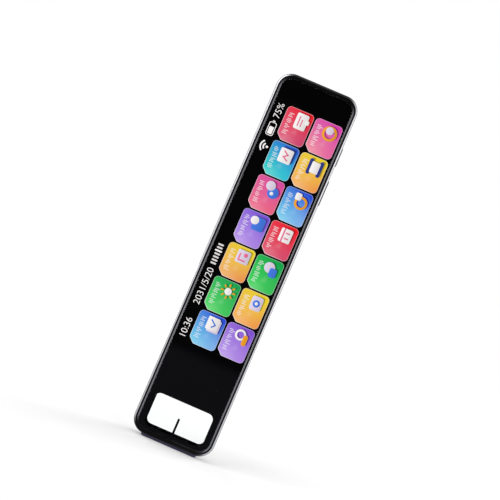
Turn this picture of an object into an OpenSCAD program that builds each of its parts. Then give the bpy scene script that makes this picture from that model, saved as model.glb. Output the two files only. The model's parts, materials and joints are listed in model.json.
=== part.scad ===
// Handheld scanning translator: a slim body that stands on its pressure tip.
// X runs across the screen, Y from the screen side (negative) to the back, Z up along the body.

/* [Body] */
// Overall length, from the pressure tip to the top end
body_l = 160; // [158:1:170]
// Width across the frame, without the side keys
body_w = 35.2; // [34.8:0.1:37]
// Thickness from the glass face to the flat of the back
body_t = 11.5; // [11.3:0.1:12.5]
// Radius of the four corners, seen from the front
corner_r = 6.5; // [6:0.1:7]
// Radius of the rounded edge round the back
back_edge_r = 4.2; // [3.8:0.1:4.4]
// Radius of the frame's front edge
front_edge_r = 0.7; // [0.3:0.1:0.8]
// Side walls of the frame and the shell
wall = 1.4; // [1.2:0.05:1.5]
// Back wall of the shell
floor_t = 1.3; // [1.1:0.05:1.5]
// Carrier plate inside the frame
plate_t = 0.8; // [0.6:0.05:1]
// Depth of the reveal between the frame and the shell
reveal = 0.25; // [0.1:0.05:0.4]

/* [Glass and screen] */
// Thickness of the cover glass
glass_t = 0.8; // [0.6:0.05:1]
// Distance from the side of the body to the edge of the glass
glass_inset = 2; // [1.9:0.05:2.2]
// Rounding of the glass edge
glass_edge_r = 0.45; // [0.2:0.05:0.5]
// How far the glass stands proud of the frame
glass_proud = 0.2; // [0.1:0.05:0.3]
// Width of the frame's front lip
lip_w = 1; // [0.8:0.05:1.1]
// Height of the trim ring below the glass face
trim_drop = 0.08; // [0.03:0.01:0.15]
// Printed mask behind the glass
mask_t = 0.12; // [0.1:0.01:0.2]
// Distance from the edge of the glass to the display panel
panel_side = 0.4; // [0.4:0.05:0.7]
// Length of the display panel
panel_l = 108.2; // [104:0.1:109]
// Distance from the top end to the display panel
panel_top = 10.6; // [10:0.1:12]
// Thickness of the display panel
panel_t = 1.1; // [0.9:0.05:1.2]
// Thickness of the light unit behind the display
backlight_t = 0.8; // [0.6:0.05:0.9]
// Border of the panel that the mask covers
panel_border = 0.3; // [0.1:0.05:0.5]

/* [Scan window] */
// Distance from the side of the body to the clear window
win_side = 4.8; // [4.7:0.05:5.4]
// Height of the clear window
win_h = 14.4; // [13:0.1:15]
// Corner radius of the clear window
win_r = 2.4; // [2:0.1:2.8]
// Height of the window's lower edge above the tip
win_z = 4.75; // [4.7:0.05:5]
// Width of the printed guide line
guide_w = 0.95; // [0.6:0.05:1.2]
// Length of the printed guide line
guide_h = 7.6; // [5:0.1:10]
// Width of the bevelled rim round the rear pane
rim_w = 1.45; // [1.2:0.05:1.5]
// Bevel of that rim
rim_bevel = 0.9; // [0.5:0.05:1]
// Thickness of the rear pane
pane_t = 0.5; // [0.4:0.05:0.6]
// Wall of the chamber between the two panes
sleeve_wall = 0.8; // [0.6:0.05:0.8]
// Lower wall of that chamber
sleeve_floor = 0.4; // [0.3:0.05:0.45]

/* [Pressure tip] */
// Distance from the side of the body to the tip
nose_side = 5.4; // [5.2:0.1:6.4]
// Depth of the tip, front to back
nose_d = 5.4; // [5:0.1:5.5]
// How far the tip stands out of the body
nose_out = 1.2; // [1:0.05:1.3]
// Place of the tip's centre, front to back
nose_y = -0.8; // [-1:0.05:-0.75]
// Corner radius of the tip
nose_r = 1.2; // [0.8:0.1:1.6]
// Travel of the tip
nose_travel = 0.7; // [0.4:0.05:0.7]
// Clearance round the tip
nose_clear = 0.12; // [0.1:0.01:0.15]
// Thickness of the tip's flange and curved arms
yoke_t = 0.7; // [0.5:0.05:0.7]
// Depth of the tip's arms and legs, front to back
leg_d = 2.4; // [2:0.1:2.6]
// Thickness of the tip's legs
leg_t = 1.75; // [1.6:0.05:1.8]
// Height of the top of the legs
leg_top = 22; // [22:0.1:23]
// Width of the clear bar in the tip
bar_w = 15.4; // [12:0.1:15.6]
// Depth of the clear bar in the tip
bar_d = 2.2; // [1.6:0.1:2.6]
// Length of the return springs as fitted
spring_l = 5.6; // [5:0.1:7]
// Radius of the spring wire
wire_r = 0.16; // [0.12:0.01:0.18]
// Turns of each return spring
spring_turns = 5; // [4:1:6]

/* [Side keys] */
// Height of both keys, front to back
key_w = 2.2; // [1.8:0.05:2.3]
// How far the keys stand out of the frame
key_out = 0.3; // [0.3:0.05:0.5]
// Travel of the keys
key_travel = 0.25; // [0.15:0.01:0.25]
// Clearance round the keys
key_clear = 0.08; // [0.06:0.01:0.1]
// Place of the keys, front to back
key_y = -0.4; // [-0.5:0.05:-0.35]
// Length of the power key
power_l = 8.2; // [7:0.1:9]
// Distance from the top end to the middle of the power key
power_top = 24; // [23.5:0.1:24.5]
// Length of the voice key
voice_l = 11; // [9:0.1:11.5]
// Distance from the top end to the middle of the voice key
voice_top = 40; // [39.5:0.1:41]

/* [Back] */
// Width of the raised camera plate
badge_w = 23.9; // [22:0.1:25]
// Length of the raised camera plate
badge_l = 29.9; // [29:0.1:31]
// Distance from the top end to the camera plate
badge_top = 5.3; // [5:0.1:6]
// How far the camera plate stands out of the shell
badge_out = 0.5; // [0.3:0.05:0.7]
// Depth of the camera plate's seat in the shell
badge_seat = 0.3; // [0.2:0.05:0.4]
// Corner radius of the camera plate
badge_r = 2.7; // [1.5:0.1:3]
// Bevel round the camera plate
badge_bevel = 0.35; // [0.1:0.05:0.45]
// Width of the camera plate's lower end
badge_foot = 11; // [9:0.1:14]
// Height of the camera plate's slanted lower corners
badge_slant = 6.6; // [5:0.1:8]
// Height of the speaker slots
slot_h = 1.15; // [0.9:0.05:1.3]
// Pitch of the rows of speaker slots
slot_pitch = 2.58; // [2.3:0.01:2.7]
// Distance from the top end to the first row of slots
slot_top = 9.95; // [9.6:0.05:10.2]
// Distance from the top end to the middle of the rear camera
cam_top = 27.1; // [26.5:0.1:27.6]
// Radius of the spun metal ring round the rear camera
cam_ring_r = 6; // [5.4:0.1:6.2]
// Radius of the camera's inner ring
cam_bezel_r = 2.8; // [2.5:0.05:3]
// Radius of the camera's glass
cam_glass_r = 2; // [1.5:0.05:2.1]
// Width of the flute's cut, along the side
flute_side = 3.5; // [2.5:0.1:3.6]
// Width of the flute's cut, along the back
flute_back = 5.4; // [4.6:0.1:5.6]
// Radius of the flute's hollow
flute_r = 12; // [10:0.5:16]
// Distance from the top end to the flutes
flute_top = 44; // [42:0.5:48]
// Length of the flutes
flute_l = 72; // [60:0.5:74]
// Width of the two chevrons
chevron_w = 13.8; // [10:0.1:16]
// Height of one chevron
chevron_h = 3.9; // [3:0.1:4.5]
// Width of a chevron's band
chevron_band = 1.05; // [0.6:0.05:1.4]
// Distance from the window's rim to the lower chevron
chevron_up = 10.2; // [6:0.1:12]
// Pitch of the two chevrons
chevron_pitch = 4.9; // [4.2:0.1:6]
// Depth of the chevrons
chevron_deep = 0.25; // [0.1:0.05:0.4]

/* [Inside] */
// Room between the battery and the side walls
battery_side = 3; // [2.9:0.1:5]
// Length of the battery
battery_l = 56; // [50:0.5:57]
// Thickness of the battery
battery_t = 4.7; // [3.5:0.1:4.8]
// Room between the battery and the main board
battery_gap = 3; // [2:0.1:6]
// Length of the main board
board_l = 53.5; // [52:0.1:53.6]
// Thickness of the circuit boards
board_t = 0.8; // [0.6:0.05:1]
// Height of the stand-offs under the main board
boss_h = 1; // [0.8:0.05:1]
// Radius of the stand-offs
boss_r = 1.5; // [1.2:0.05:1.7]
// Radius of the screws
screw_r = 0.55; // [0.4:0.05:0.6]
// Width of the charging inlet's shell
usb_w = 8.94; // [8.9:0.01:9]
// Height of the charging inlet's shell
usb_h = 3.26; // [3.2:0.01:3.3]
// Depth of the charging inlet's shell
usb_l = 7.4; // [6.5:0.1:8]
// Wall of the charging inlet's shell
usb_wall = 0.3; // [0.2:0.02:0.4]
// Distance from the part line to the middle of the charging inlet
usb_back = 2.15; // [2.1:0.05:2.35]
// Width of the loudspeaker
speaker_w = 16; // [14:0.1:17]
// Length of the loudspeaker
speaker_l = 10.4; // [9:0.1:10.6]
// Depth of the loudspeaker
speaker_t = 2.9; // [2:0.1:3]
// Radius of the microphone holes
mic_r = 0.45; // [0.3:0.05:0.6]

/* [Hidden] */
$fn = 72;
// Coarser circles for pieces that are hulled
hull_fn = 32;

// Gap between stacked layers of one body
layer = 0.03;
// Clearance of a piece in its pocket
fit = 0.05;
// Clearance beside the glass and the trim ring
rebate = 0.1;
// Overlap of two solids that make one piece
bond = 0.1;
// Reach of a cutter past the surface it cuts
past = 1;

// Levels from the front to the back
front_y = -body_t / 2;
back_y = body_t / 2;
part_y = back_y - back_edge_r;
floor_y = back_y - floor_t;
frame_y = front_y + glass_proud;
glass_y = front_y + glass_t;
mask_y = glass_y + layer;
panel_y = mask_y + mask_t + layer;
backlight_y = panel_y + panel_t + layer;
plate_y = backlight_y + backlight_t + layer;
deck_y = plate_y + plate_t;

// Levels along the body
base_z = nose_out;
body_h = body_l - base_z;
mid_z = base_z + body_h / 2;
inner_w = body_w - 2 * wall;
sill_z = base_z + wall;

// Trim ring, between the frame's lip and the glass
trim_out = lip_w + rebate;
trim_in = glass_inset - rebate;
trim_room = 0.35;
trim_floor_y = glass_y + layer + trim_room;
ledge = 0.3;
trim_edge_r = 0.3;

// Display
panel_w = body_w - 2 * (glass_inset + panel_side);
panel_z = body_l - panel_top - panel_l;
panel_mid = panel_z + panel_l / 2;
panel_r = 1;
panel_fit = 0.15;
driver_edge = 1;
driver_deep = 0.3;
driver_in = 0.6;
driver_h = 3.4;
driver_z = [panel_z + driver_in, panel_z + driver_in + driver_h];
view_w = panel_w - 2 * panel_border;
view_l = panel_l - 2 * panel_border;

// Scan window and its chamber
win_w = body_w - 2 * win_side;
win_top = win_z + win_h;
win_mid = win_z + win_h / 2;
seat_w = win_w + 2 * rim_w;
seat_h = win_h + 2 * rim_w;
seat_r = win_r + rim_w;
pane_y = floor_y + layer;
rim_y = pane_y + pane_t + layer;
sleeve_y0 = mask_y + mask_t + layer;
sleeve_y1 = pane_y - layer;
sleeve_flange = 0.5;
sleeve_w = win_w + 2 * sleeve_wall;
sleeve_z0 = win_z - sleeve_floor;
sleeve_z1 = win_top + sleeve_wall;
sleeve_r = 3;
stand_h = 0.6;

// Pressure tip
nose_w = body_w - 2 * nose_side;
nose_edge = 0.4;
nose_face_t = 0.01;
flange_z = sill_z + fit;
flange_top = flange_z + yoke_t;
flange_lip = 0.7;
yoke_clear = 0.25;
corner_x = body_w / 2 - corner_r;
corner_z = base_z + corner_r;
arm_r = corner_r - wall - yoke_clear;
leg_x = corner_x + arm_r;
spring_x = leg_x - leg_t / 2;
coil_r = leg_t / 2 - wire_r;
spring_z = leg_top + layer;
spring_end = spring_z + spring_l;
seat_t = 1.2;
spring_steps = 14;
wire_sides = 8;
press_tab = 2;
press_tab_h = 1;
plunger_r = 0.6;
plunger_gap = 0.05;
nose_plunger_l = 1.1;
nose_switch_h = 2;
nose_switch_w = 2;
nose_switch_side = 0.2;
leg_root = 2;
recess = 0.15;

// Scanner electronics
scan_z = sleeve_z1 + stand_h + layer;
scan_board_t = 0.6;
scan_y = 0.9;
scan_board_gap = 0.4;
scan_board_w = 2 * (leg_x - leg_t - press_tab - scan_board_gap);
scan_board_d = 5.8;
lens_r = 2.3;
lens_eye_r = 1.6;
lens_eye_h = 0.3;
lens_eye_z = win_top + 0.1;
stand_r = 0.9;
stand_in = 0.6;
stand_x = sleeve_w / 2 - sleeve_r - stand_in;
led_w = 3;
led_d = 1.6;
led_gap = 1.1;
led_x = stand_x - stand_r - led_gap - led_w / 2;
led_z = win_top + 0.2;
scan_cam_w = 8.5;
scan_cam_d = 5;
scan_cam_h = 6.2;
scan_cam_z = scan_z + scan_board_t + layer;

// Side keys, from the outside inwards. The flange reaches down to the carrier plate.
key_flange = key_y - key_w / 2 - deck_y - fit;
key_face = body_w / 2 + key_out;
key_bevel = 0.2;
key_flange_t = 0.5;
key_flange_x = inner_w / 2 - key_clear - key_flange_t;
key_boss = 0.4;
key_boss_r = 1;
key_back = key_flange_x - key_boss;
plunger_x = key_back - layer;
plunger_l = 0.6;
plunger_in = key_travel + plunger_gap;
switch_tip = 0.3;
switch_x = plunger_x - switch_tip;
switch_t = 1.5;
switch_l = 3.4;
switch_w = 2.4;
key_plunger_r = 0.8;
strip_t = 0.12;
strip_x = switch_x - switch_t - layer - strip_t;
bracket_t = 0.8;
bracket_x = strip_x - layer - bracket_t;
bracket_end = 5;
power_z = body_l - power_top;
voice_z = body_l - voice_top;

// Back of the shell
badge_y = back_y - badge_seat;
badge_face = back_y + badge_out;
badge_z1 = body_l - badge_top;
badge_z0 = badge_z1 - badge_l;
badge_lap = 1;
cam_z = body_l - cam_top;
cam_hole_r = 4.1;
cam_half = 4.2;
cam_neck = 0.3;
ring_h = 0.3;
ring_dish = 0.1;
bezel_edge = 0.15;
bezel_drop = 0.2;
dome_r = 4.5;
chevron_z = win_top + rim_w + chevron_up;
slot_rows = 4;
// Slots of each row: middle and length of every slot, across the plate
slot_plan = [[[-3.05, 4.2], [2.95, 4.4]], [[0, 15.3]], [[-3.8, 5.8], [3.8, 6]], [[-2.95, 4.4], [3.05, 4.2]]];
flute_wall = 1;

// Loudspeaker
speaker_z = body_l - slot_top - slot_pitch * (slot_rows - 1) / 2;
gasket_t = 0.5;
gasket_w = 1.2;
mesh_t = 0.15;
mesh_edge = 0.5;
speaker_r = 1.2;
speaker_y1 = floor_y - layer - gasket_t - layer;
speaker_open_w = speaker_w - 2 * gasket_w;
speaker_open_l = speaker_l - 2 * gasket_w;
speaker_open_r = 1;
speaker_dish = 0.5;
cone_rise = 0.3;

// Main board
board_side = 0.21;
board_end = 2.1;
board_w = 2 * (bracket_x - board_side);
board_y = deck_y + boss_h + layer;
board_face = board_y + board_t;
board_z1 = body_l - wall - board_end;
board_z0 = board_z1 - board_l;
screw_in = 1.8;
screw_low = 3.5;
screw_high = 8.5;
screw_x = board_w / 2 - screw_in;
screw_z = [board_z0 + screw_low, board_z1 - screw_high];
screw_head_r = 1.2;
screw_head_h = 0.6;
usb_y = part_y - usb_back;
usb_z1 = body_l - fit;
usb_z0 = usb_z1 - usb_l;
usb_gap = 0.2;
usb_base = 0.9;
tongue_w = 6.7;
tongue_t = 0.7;
tongue_back = 0.6;
mic_in = 1.3;
mic_x = corner_x - mic_in;
mic_w = 3;
mic_d = 2.2;
mic_h = 1.2;
mic_y = -0.8;
battery_w = inner_w - 2 * battery_side;
battery_z = board_z0 - battery_gap - battery_l;
battery_mid = battery_z + battery_l / 2;
battery_r = 1;
ribbon_t = 0.1;
tape_t = 0.15;
tape_edge = [1.5, 3];
ribbon_y = deck_y + layer;
tape_y = ribbon_y + ribbon_t + layer;
battery_y = tape_y + tape_t + layer;

// Ribbon of the display
flex_w = 6;
flex_side = 0.7;
flex_x = [boss_r + flex_side - screw_x, boss_r + flex_side - screw_x + flex_w];
flex_over = 1.2;
flex_z = panel_z + panel_l + flex_over;
flex_y = panel_y + panel_t / 2;
flex_plug_t = 0.5;
flex_plug_l = 2;
flex_tail = 4.5;
flex_in_y = board_y - layer - flex_plug_t;
flex_room = 0.4;

// Ribbon of the scanner and lead of the battery
scan_flex_w = 6.4;
scan_flex_over = 3;
scan_flex_end = board_z0 + scan_flex_over;
scan_flex_l = 2.2;
lead_x = [4.4, 6.6];
lead_y = [board_face + 0.3, board_face + 0.9];
lead_l = 2;
plug_x = [3.6, 7.4];
plug_t = 1.1;
plug_in = 1.6;
plug_l = 2.4;
plug_z = [board_z0 + plug_in, board_z0 + plug_in + plug_l];
antenna_w = 16;
antenna_l = 15;
antenna_in = 3;
antenna_z = board_z0 + antenna_in;

// Metal can, and the chips as across, along, width, length and height.
// The first two sit under the can, the others beside the camera, in from the edge of the board.
can_w = 17.2;
can_l = 13.5;
can_in = 6.5;
can_z = board_z0 + can_in;
can_h = 1.6;
can_wall = 0.15;
chip_side = 3.6;
edge_in = board_w / 2 - chip_side;
chips = [[-3.4, can_z + 6.7, 8, 8, 0.9], [4.6, can_z + 8.5, 5, 7, 0.8],
    [-edge_in, cam_z - 2.9, 4.5, 4.5, 0.9], [edge_in + 0.1, cam_z - 2.4, 4, 4, 0.8],
    [edge_in + 0.4, cam_z + 4.1, 3.2, 5, 1]];

// ---------- helpers ----------

// A block between pairs of limits along X, Y and Z
module span(x, y, z) {
    translate([x[0], y[0], z[0]])
        cube([x[1] - x[0], y[1] - y[0], z[1] - z[0]]);
}

// A flat shape, drawn across (X) and up (Z), carried from one Y level to another
module along_y(y0, y1) {
    translate([0, y1, 0])
        rotate([90, 0, 0])
            linear_extrude(y1 - y0)
                children();
}

// A flat shape, drawn back (Y) and up (Z), carried from one X to another
module along_x(x0, x1) {
    translate([x0, 0, 0])
        rotate([90, 0, 90])
            linear_extrude(x1 - x0)
                children();
}

// A turned shape round an axis along Y, its profile drawn as radius and Y
module turned_y(x, z) {
    translate([x, 0, z])
        rotate([-90, 0, 0])
            rotate_extrude()
                children();
}

module rounded_rect(w, h, r) {
    square([w - 2 * r, h], center = true);
    square([w, h - 2 * r], center = true);
    for (x = [-1, 1], y = [-1, 1])
        translate([x * (w / 2 - r), y * (h / 2 - r)])
            circle(r);
}

// A slot with round ends, its length along the first axis
module stadium(l, w) {
    square([l - w, w], center = true);
    for (x = [-1, 1])
        translate([x * (l - w) / 2, 0])
            circle(w / 2);
}

// Outline of the body, seen from the front, drawn in by inset
module outline(inset) {
    translate([0, mid_z])
        rounded_rect(body_w - 2 * inset, body_h - 2 * inset, corner_r - inset);
}

// Half of the section across an edge: a bar from y0 to y1 with rounded outer corners
module half_section(reach, y0, y1, front_r, back_r) {
    difference() {
        translate([0, y0])
            square([reach, y1 - y0]);
        if (front_r > 0)
            difference() {
                translate([reach - front_r, y0 - past])
                    square([front_r + past, front_r + past]);
                translate([reach - front_r, y0 + front_r])
                    circle(front_r);
            }
        if (back_r > 0)
            difference() {
                translate([reach - back_r, y1 - back_r])
                    square([back_r + past, back_r + past]);
                translate([reach - back_r, y1 - back_r])
                    circle(back_r);
            }
    }
}

module section(reach, y0, y1, front_r, back_r) {
    half_section(reach, y0, y1, front_r, back_r);
    mirror([1, 0])
        half_section(reach, y0, y1, front_r, back_r);
}

// The body's outline drawn in by inset, from y0 to y1, with its edges rounded all the way round
module slab(inset, y0, y1, front_r, back_r) {
    w = body_w - 2 * inset;
    h = body_h - 2 * inset;
    r = corner_r - inset;
    translate([0, 0, mid_z]) {
        translate([0, 0, r - h / 2])
            linear_extrude(h - 2 * r)
                section(w / 2, y0, y1, front_r, back_r);
        translate([r - w / 2, 0, 0])
            rotate([0, 90, 0])
                linear_extrude(w - 2 * r)
                    section(h / 2, y0, y1, front_r, back_r);
        for (corner = [[1, -1, 0], [-1, -1, 90], [-1, 1, 180], [1, 1, 270]])
            translate([corner[0] * (w / 2 - r), 0, corner[1] * (h / 2 - r)])
                rotate([0, corner[2], 0])
                    rotate([-90, 0, 0])
                        rotate_extrude(angle = 90)
                            half_section(r, y0, y1, front_r, back_r);
    }
}

// ---------- front ----------

module front_glass() {
    color("#1a1c20", 0.6)
        slab(glass_inset, front_y, glass_y, glass_edge_r, 0);
}

// Black print with clear places for the screen and the scan window, and the guide line
module glass_mask() {
    color("#0b0b0d")
        along_y(mask_y, mask_y + mask_t) {
            difference() {
                outline(glass_inset + fit);
                translate([0, panel_mid])
                    rounded_rect(view_w, view_l, panel_r);
                translate([0, win_mid])
                    rounded_rect(win_w, win_h, win_r);
            }
            translate([-guide_w / 2, win_z - bond])
                square([guide_w, guide_h + bond]);
        }
}

module display_panel() {
    color("#2b4f9e")
        along_y(panel_y, panel_y + panel_t)
            translate([0, panel_mid])
                rounded_rect(panel_w, panel_l, panel_r);
}

module backlight() {
    color("#d9dde0")
        difference() {
            along_y(backlight_y, backlight_y + backlight_t)
                translate([0, panel_mid])
                    rounded_rect(panel_w, panel_l, panel_r);
            // driver strip along the lower edge
            span([driver_edge - panel_w / 2, panel_w / 2 - driver_edge],
                [backlight_y - past, backlight_y + driver_deep], driver_z);
        }
}

// Ribbon that leaves the top of the display, passes the carrier plate and plugs into the board
module display_flex() {
    color("#b86a1e") {
        span(flex_x, [flex_y, flex_y + ribbon_t], [panel_z + panel_l + layer, flex_z]);
        span(flex_x, [flex_y, flex_in_y], [flex_z - ribbon_t, flex_z]);
        span(flex_x, [flex_in_y - ribbon_t, flex_in_y], [flex_z - flex_tail, flex_z]);
        span([flex_x[0] + flex_plug_t, flex_x[1] - flex_plug_t], [flex_in_y - ribbon_t, board_y - layer],
            [flex_z - flex_tail + ribbon_t, flex_z - flex_tail + ribbon_t + flex_plug_l]);
    }
}

// Polished ring with a small flange that carries the edge of the glass
module trim_ring() {
    color("#c9ccd2") {
        difference() {
            slab(trim_out, front_y + trim_drop, trim_floor_y, trim_edge_r, 0);
            along_y(front_y - past, trim_floor_y + past)
                outline(trim_in);
        }
        difference() {
            along_y(glass_y + layer, trim_floor_y)
                outline(trim_in - bond);
            along_y(front_y, trim_floor_y + past)
                outline(trim_in + ledge);
            along_y(front_y, mask_y + mask_t + layer)
                outline(glass_inset);
        }
    }
}

// ---------- frame ----------

module nose_slot() {
    translate([0, nose_y, base_z - past])
        linear_extrude(wall + 2 * past)
            rounded_rect(nose_w + 2 * nose_clear, nose_d + 2 * nose_clear, nose_r + nose_clear);
}

module key_slot(z, l) {
    along_x(inner_w / 2 - past, body_w / 2 + past)
        translate([key_y, z])
            rotate(90)
                stadium(l + 2 * key_clear, key_w + 2 * key_clear);
}

module flange_room() {
    span([-nose_w / 2 - flange_lip - nose_clear, nose_w / 2 + flange_lip + nose_clear],
        [nose_y - nose_d / 2 - flange_lip - nose_clear, part_y + past],
        [sill_z, flange_top + nose_travel + nose_clear]);
}

module usb_mouth() {
    translate([0, usb_y, usb_z0 - past])
        linear_extrude(usb_l + 2 * past)
            stadium(usb_w + 2 * usb_gap, usb_h + 2 * usb_gap);
}

module mic_holes() {
    for (x = [-mic_x, mic_x])
        translate([x, mic_y, body_l - wall - past])
            cylinder(h = wall + 2 * past, r = mic_r);
}

// Side walls, carrier plate, stand-offs, key bracket and spring seats in one casting
module mid_frame() {
    color("#a9adb4")
        difference() {
            union() {
                difference() {
                    slab(0, frame_y, part_y, front_edge_r, 0);
                    along_y(frame_y - past, trim_floor_y + layer)
                        outline(lip_w);
                    along_y(frame_y - past, plate_y)
                        translate([0, mid_z])
                            rounded_rect(panel_w + 2 * panel_fit, body_h - 2 * (glass_inset + ledge),
                                corner_r - glass_inset - ledge);
                    along_y(deck_y, part_y + past)
                        outline(wall);
                }
                for (x = [-screw_x, screw_x], z = screw_z)
                    translate([x, deck_y + boss_h, z])
                        rotate([90, 0, 0])
                            cylinder(h = boss_h + bond, r = boss_r);
                span([bracket_x, bracket_x + bracket_t], [deck_y - bond, key_y + key_w / 2],
                    [voice_z - bracket_end, power_z + bracket_end]);
                for (side = [-1, 1])
                    span([min(side * (leg_x - leg_t), side * (inner_w / 2 + bond)),
                            max(side * (leg_x - leg_t), side * (inner_w / 2 + bond))],
                        [deck_y - bond, leg_d / 2], [spring_end + layer, spring_end + layer + seat_t]);
            }
            // chamber and tip
            along_y(trim_floor_y, deck_y + past)
                translate([0, (sleeve_z0 + sleeve_z1) / 2])
                    rounded_rect(sleeve_w + 2 * rebate, sleeve_z1 - sleeve_z0 + 2 * rebate,
                        sleeve_r + rebate);
            flange_room();
            nose_slot();
            // ribbon slot, screw holes, keys, inlet and microphones
            span([flex_x[0] - flex_room, flex_x[1] + flex_room], [plate_y - past, deck_y + past],
                [flex_z - ribbon_t - flex_room, flex_z + flex_room]);
            for (x = [-screw_x, screw_x], z = screw_z)
                translate([x, deck_y + boss_h + past, z])
                    rotate([90, 0, 0])
                        cylinder(h = boss_h + past + plate_t / 2, r = screw_r + fit);
            key_slot(power_z, power_l);
            key_slot(voice_z, voice_l);
            usb_mouth();
            mic_holes();
        }
}

// ---------- side keys ----------

module key(z, l) {
    color("#8f939a") {
        along_x(key_flange_x + bond, body_w / 2)
            translate([key_y, z])
                rotate(90)
                    stadium(l, key_w);
        hull() {
            along_x(body_w / 2 - bond, key_face - key_bevel)
                translate([key_y, z])
                    rotate(90)
                        stadium(l, key_w, $fn = hull_fn);
            along_x(key_face - key_bevel, key_face)
                translate([key_y, z])
                    rotate(90)
                        stadium(l - 2 * key_bevel, key_w - 2 * key_bevel, $fn = hull_fn);
        }
        along_x(key_flange_x, key_flange_x + key_flange_t)
            translate([key_y, z])
                rotate(90)
                    stadium(l + 2 * key_flange, key_w + 2 * key_flange);
        translate([key_back, key_y, z])
            rotate([0, 90, 0])
                cylinder(h = key_boss + bond, r = key_boss_r);
    }
}

module key_plunger(z) {
    color("#1c1c1e")
        translate([plunger_x - plunger_l, key_y, z])
            rotate([0, 90, 0])
                cylinder(h = plunger_l, r = key_plunger_r);
}

module key_switch(z) {
    color("#c7c9cc")
        difference() {
            span([switch_x - switch_t, switch_x], [key_y - switch_w / 2, key_y + switch_w / 2],
                [z - switch_l / 2, z + switch_l / 2]);
            translate([plunger_x - plunger_l - plunger_in, key_y, z])
                rotate([0, 90, 0])
                    cylinder(h = plunger_l + plunger_in + past, r = key_plunger_r + fit);
        }
}

module power_key() {
    key(power_z, power_l);
}

module power_plunger() {
    key_plunger(power_z);
}

module power_switch() {
    key_switch(power_z);
}

module voice_key() {
    key(voice_z, voice_l);
}

module voice_plunger() {
    key_plunger(voice_z);
}

module voice_switch() {
    key_switch(voice_z);
}

module key_flex() {
    color("#b86a1e")
        span([strip_x, strip_x + strip_t], [key_y - switch_w / 2, key_y + switch_w / 2],
            [voice_z - switch_l, power_z + switch_l]);
}

// ---------- back ----------

// Hollow of a finger flute: a long drum with coned ends, on both back edges.
// Its circle passes through one point on the side and one on the back.
module flutes(grow) {
    side_point = [body_w / 2, back_y - flute_side];
    back_point = [body_w / 2 - flute_back, back_y];
    chord = side_point - back_point;
    outward = [-chord[1], chord[0]] / norm(chord);
    centre = (side_point + back_point) / 2 + outward * sqrt(flute_r ^ 2 - norm(chord) ^ 2 / 4);
    edge = [body_w / 2 - back_edge_r, part_y];
    deep = flute_r - norm(centre - edge) + back_edge_r;
    z1 = body_l - flute_top;
    z0 = z1 - flute_l;
    for (side = [0, 1])
        mirror([side, 0, 0])
            translate([centre[0], centre[1], 0]) {
                translate([0, 0, z0 - grow])
                    cylinder(h = deep, r1 = flute_r - deep + grow, r2 = flute_r + grow);
                translate([0, 0, z0 - grow + deep])
                    cylinder(h = flute_l + 2 * grow - 2 * deep, r = flute_r + grow);
                translate([0, 0, z1 + grow - deep])
                    cylinder(h = deep, r1 = flute_r + grow, r2 = flute_r - deep + grow);
            }
}

module chevron() {
    half = chevron_w / 2;
    rise = chevron_h - chevron_band;
    polygon([[-half, rise], [0, 0], [half, rise], [half, chevron_h], [0, chevron_band],
        [-half, chevron_h]]);
}

// Outline of the camera plate: a rounded rectangle with slanted lower corners
module badge_outline(inset) {
    w = badge_w - 2 * inset;
    foot = badge_foot - inset;
    translate([0, badge_z0]) {
        polygon([[-foot / 2, inset], [foot / 2, inset], [w / 2, badge_slant],
            [w / 2, badge_slant + badge_lap], [-w / 2, badge_slant + badge_lap], [-w / 2, badge_slant]]);
        translate([-w / 2, badge_slant])
            square([w, badge_l - inset - badge_r - badge_slant]);
        translate([-w / 2 + badge_r, badge_slant])
            square([w - 2 * badge_r, badge_l - inset - badge_slant]);
        for (side = [-1, 1])
            translate([side * (w / 2 - badge_r), badge_l - inset - badge_r])
                circle(badge_r);
    }
}

// Tongues of the shell that slip inside the frame's side walls
module shell_lips() {
    lip_t = 0.7;
    lip_deep = 0.8;
    lip_high = 1.2;
    lip_gap = 3;
    z0 = spring_end + seat_t + lip_gap;
    z1 = voice_z - voice_l / 2 - lip_gap;
    for (side = [0, 1])
        mirror([side, 0, 0]) {
            span([inner_w / 2 - fit - lip_t, inner_w / 2 - fit], [part_y - lip_deep, part_y + bond],
                [z0, z1]);
            span([inner_w / 2 - fit - lip_t, inner_w / 2 + bond], [part_y, part_y + lip_high],
                [z0, z1]);
        }
}

// Hollow shell with rounded edges, finger flutes, chevrons, plate seat and window opening
module back_shell() {
    color("#6b6b6d")
        difference() {
            union() {
                difference() {
                    slab(0, part_y, back_y, 0, back_edge_r);
                    difference() {
                        slab(wall, part_y - past, floor_y, 0, back_edge_r - wall);
                        flutes(flute_wall);
                    }
                }
                shell_lips();
            }
            difference() {
                along_y(part_y - past, part_y + reveal)
                    outline(-past);
                along_y(part_y - 2 * past, part_y + reveal + past)
                    outline(reveal);
            }
            flutes(0);
            for (row = [0, 1])
                along_y(back_y - chevron_deep, back_y + past)
                    translate([0, chevron_z + row * chevron_pitch])
                        chevron();
            along_y(badge_y, back_y + past)
                badge_outline(-fit);
            turned_y(0, cam_z)
                translate([0, floor_y - past])
                    square([cam_hole_r, floor_t + 2 * past]);
            along_y(floor_y - past, back_y + past)
                translate([0, speaker_z])
                    rounded_rect(speaker_open_w, speaker_open_l, speaker_open_r);
            along_y(badge_y - mesh_t - layer, back_y + past)
                translate([0, speaker_z])
                    rounded_rect(speaker_open_w + 2 * mesh_edge + 2 * fit,
                        speaker_open_l + 2 * mesh_edge + 2 * fit, speaker_open_r);
            along_y(floor_y - wall, back_y + past)
                translate([0, win_mid])
                    rounded_rect(seat_w + 2 * fit, seat_h + 2 * fit, seat_r + fit);
            flange_room();
            nose_slot();
        }
}

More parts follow.
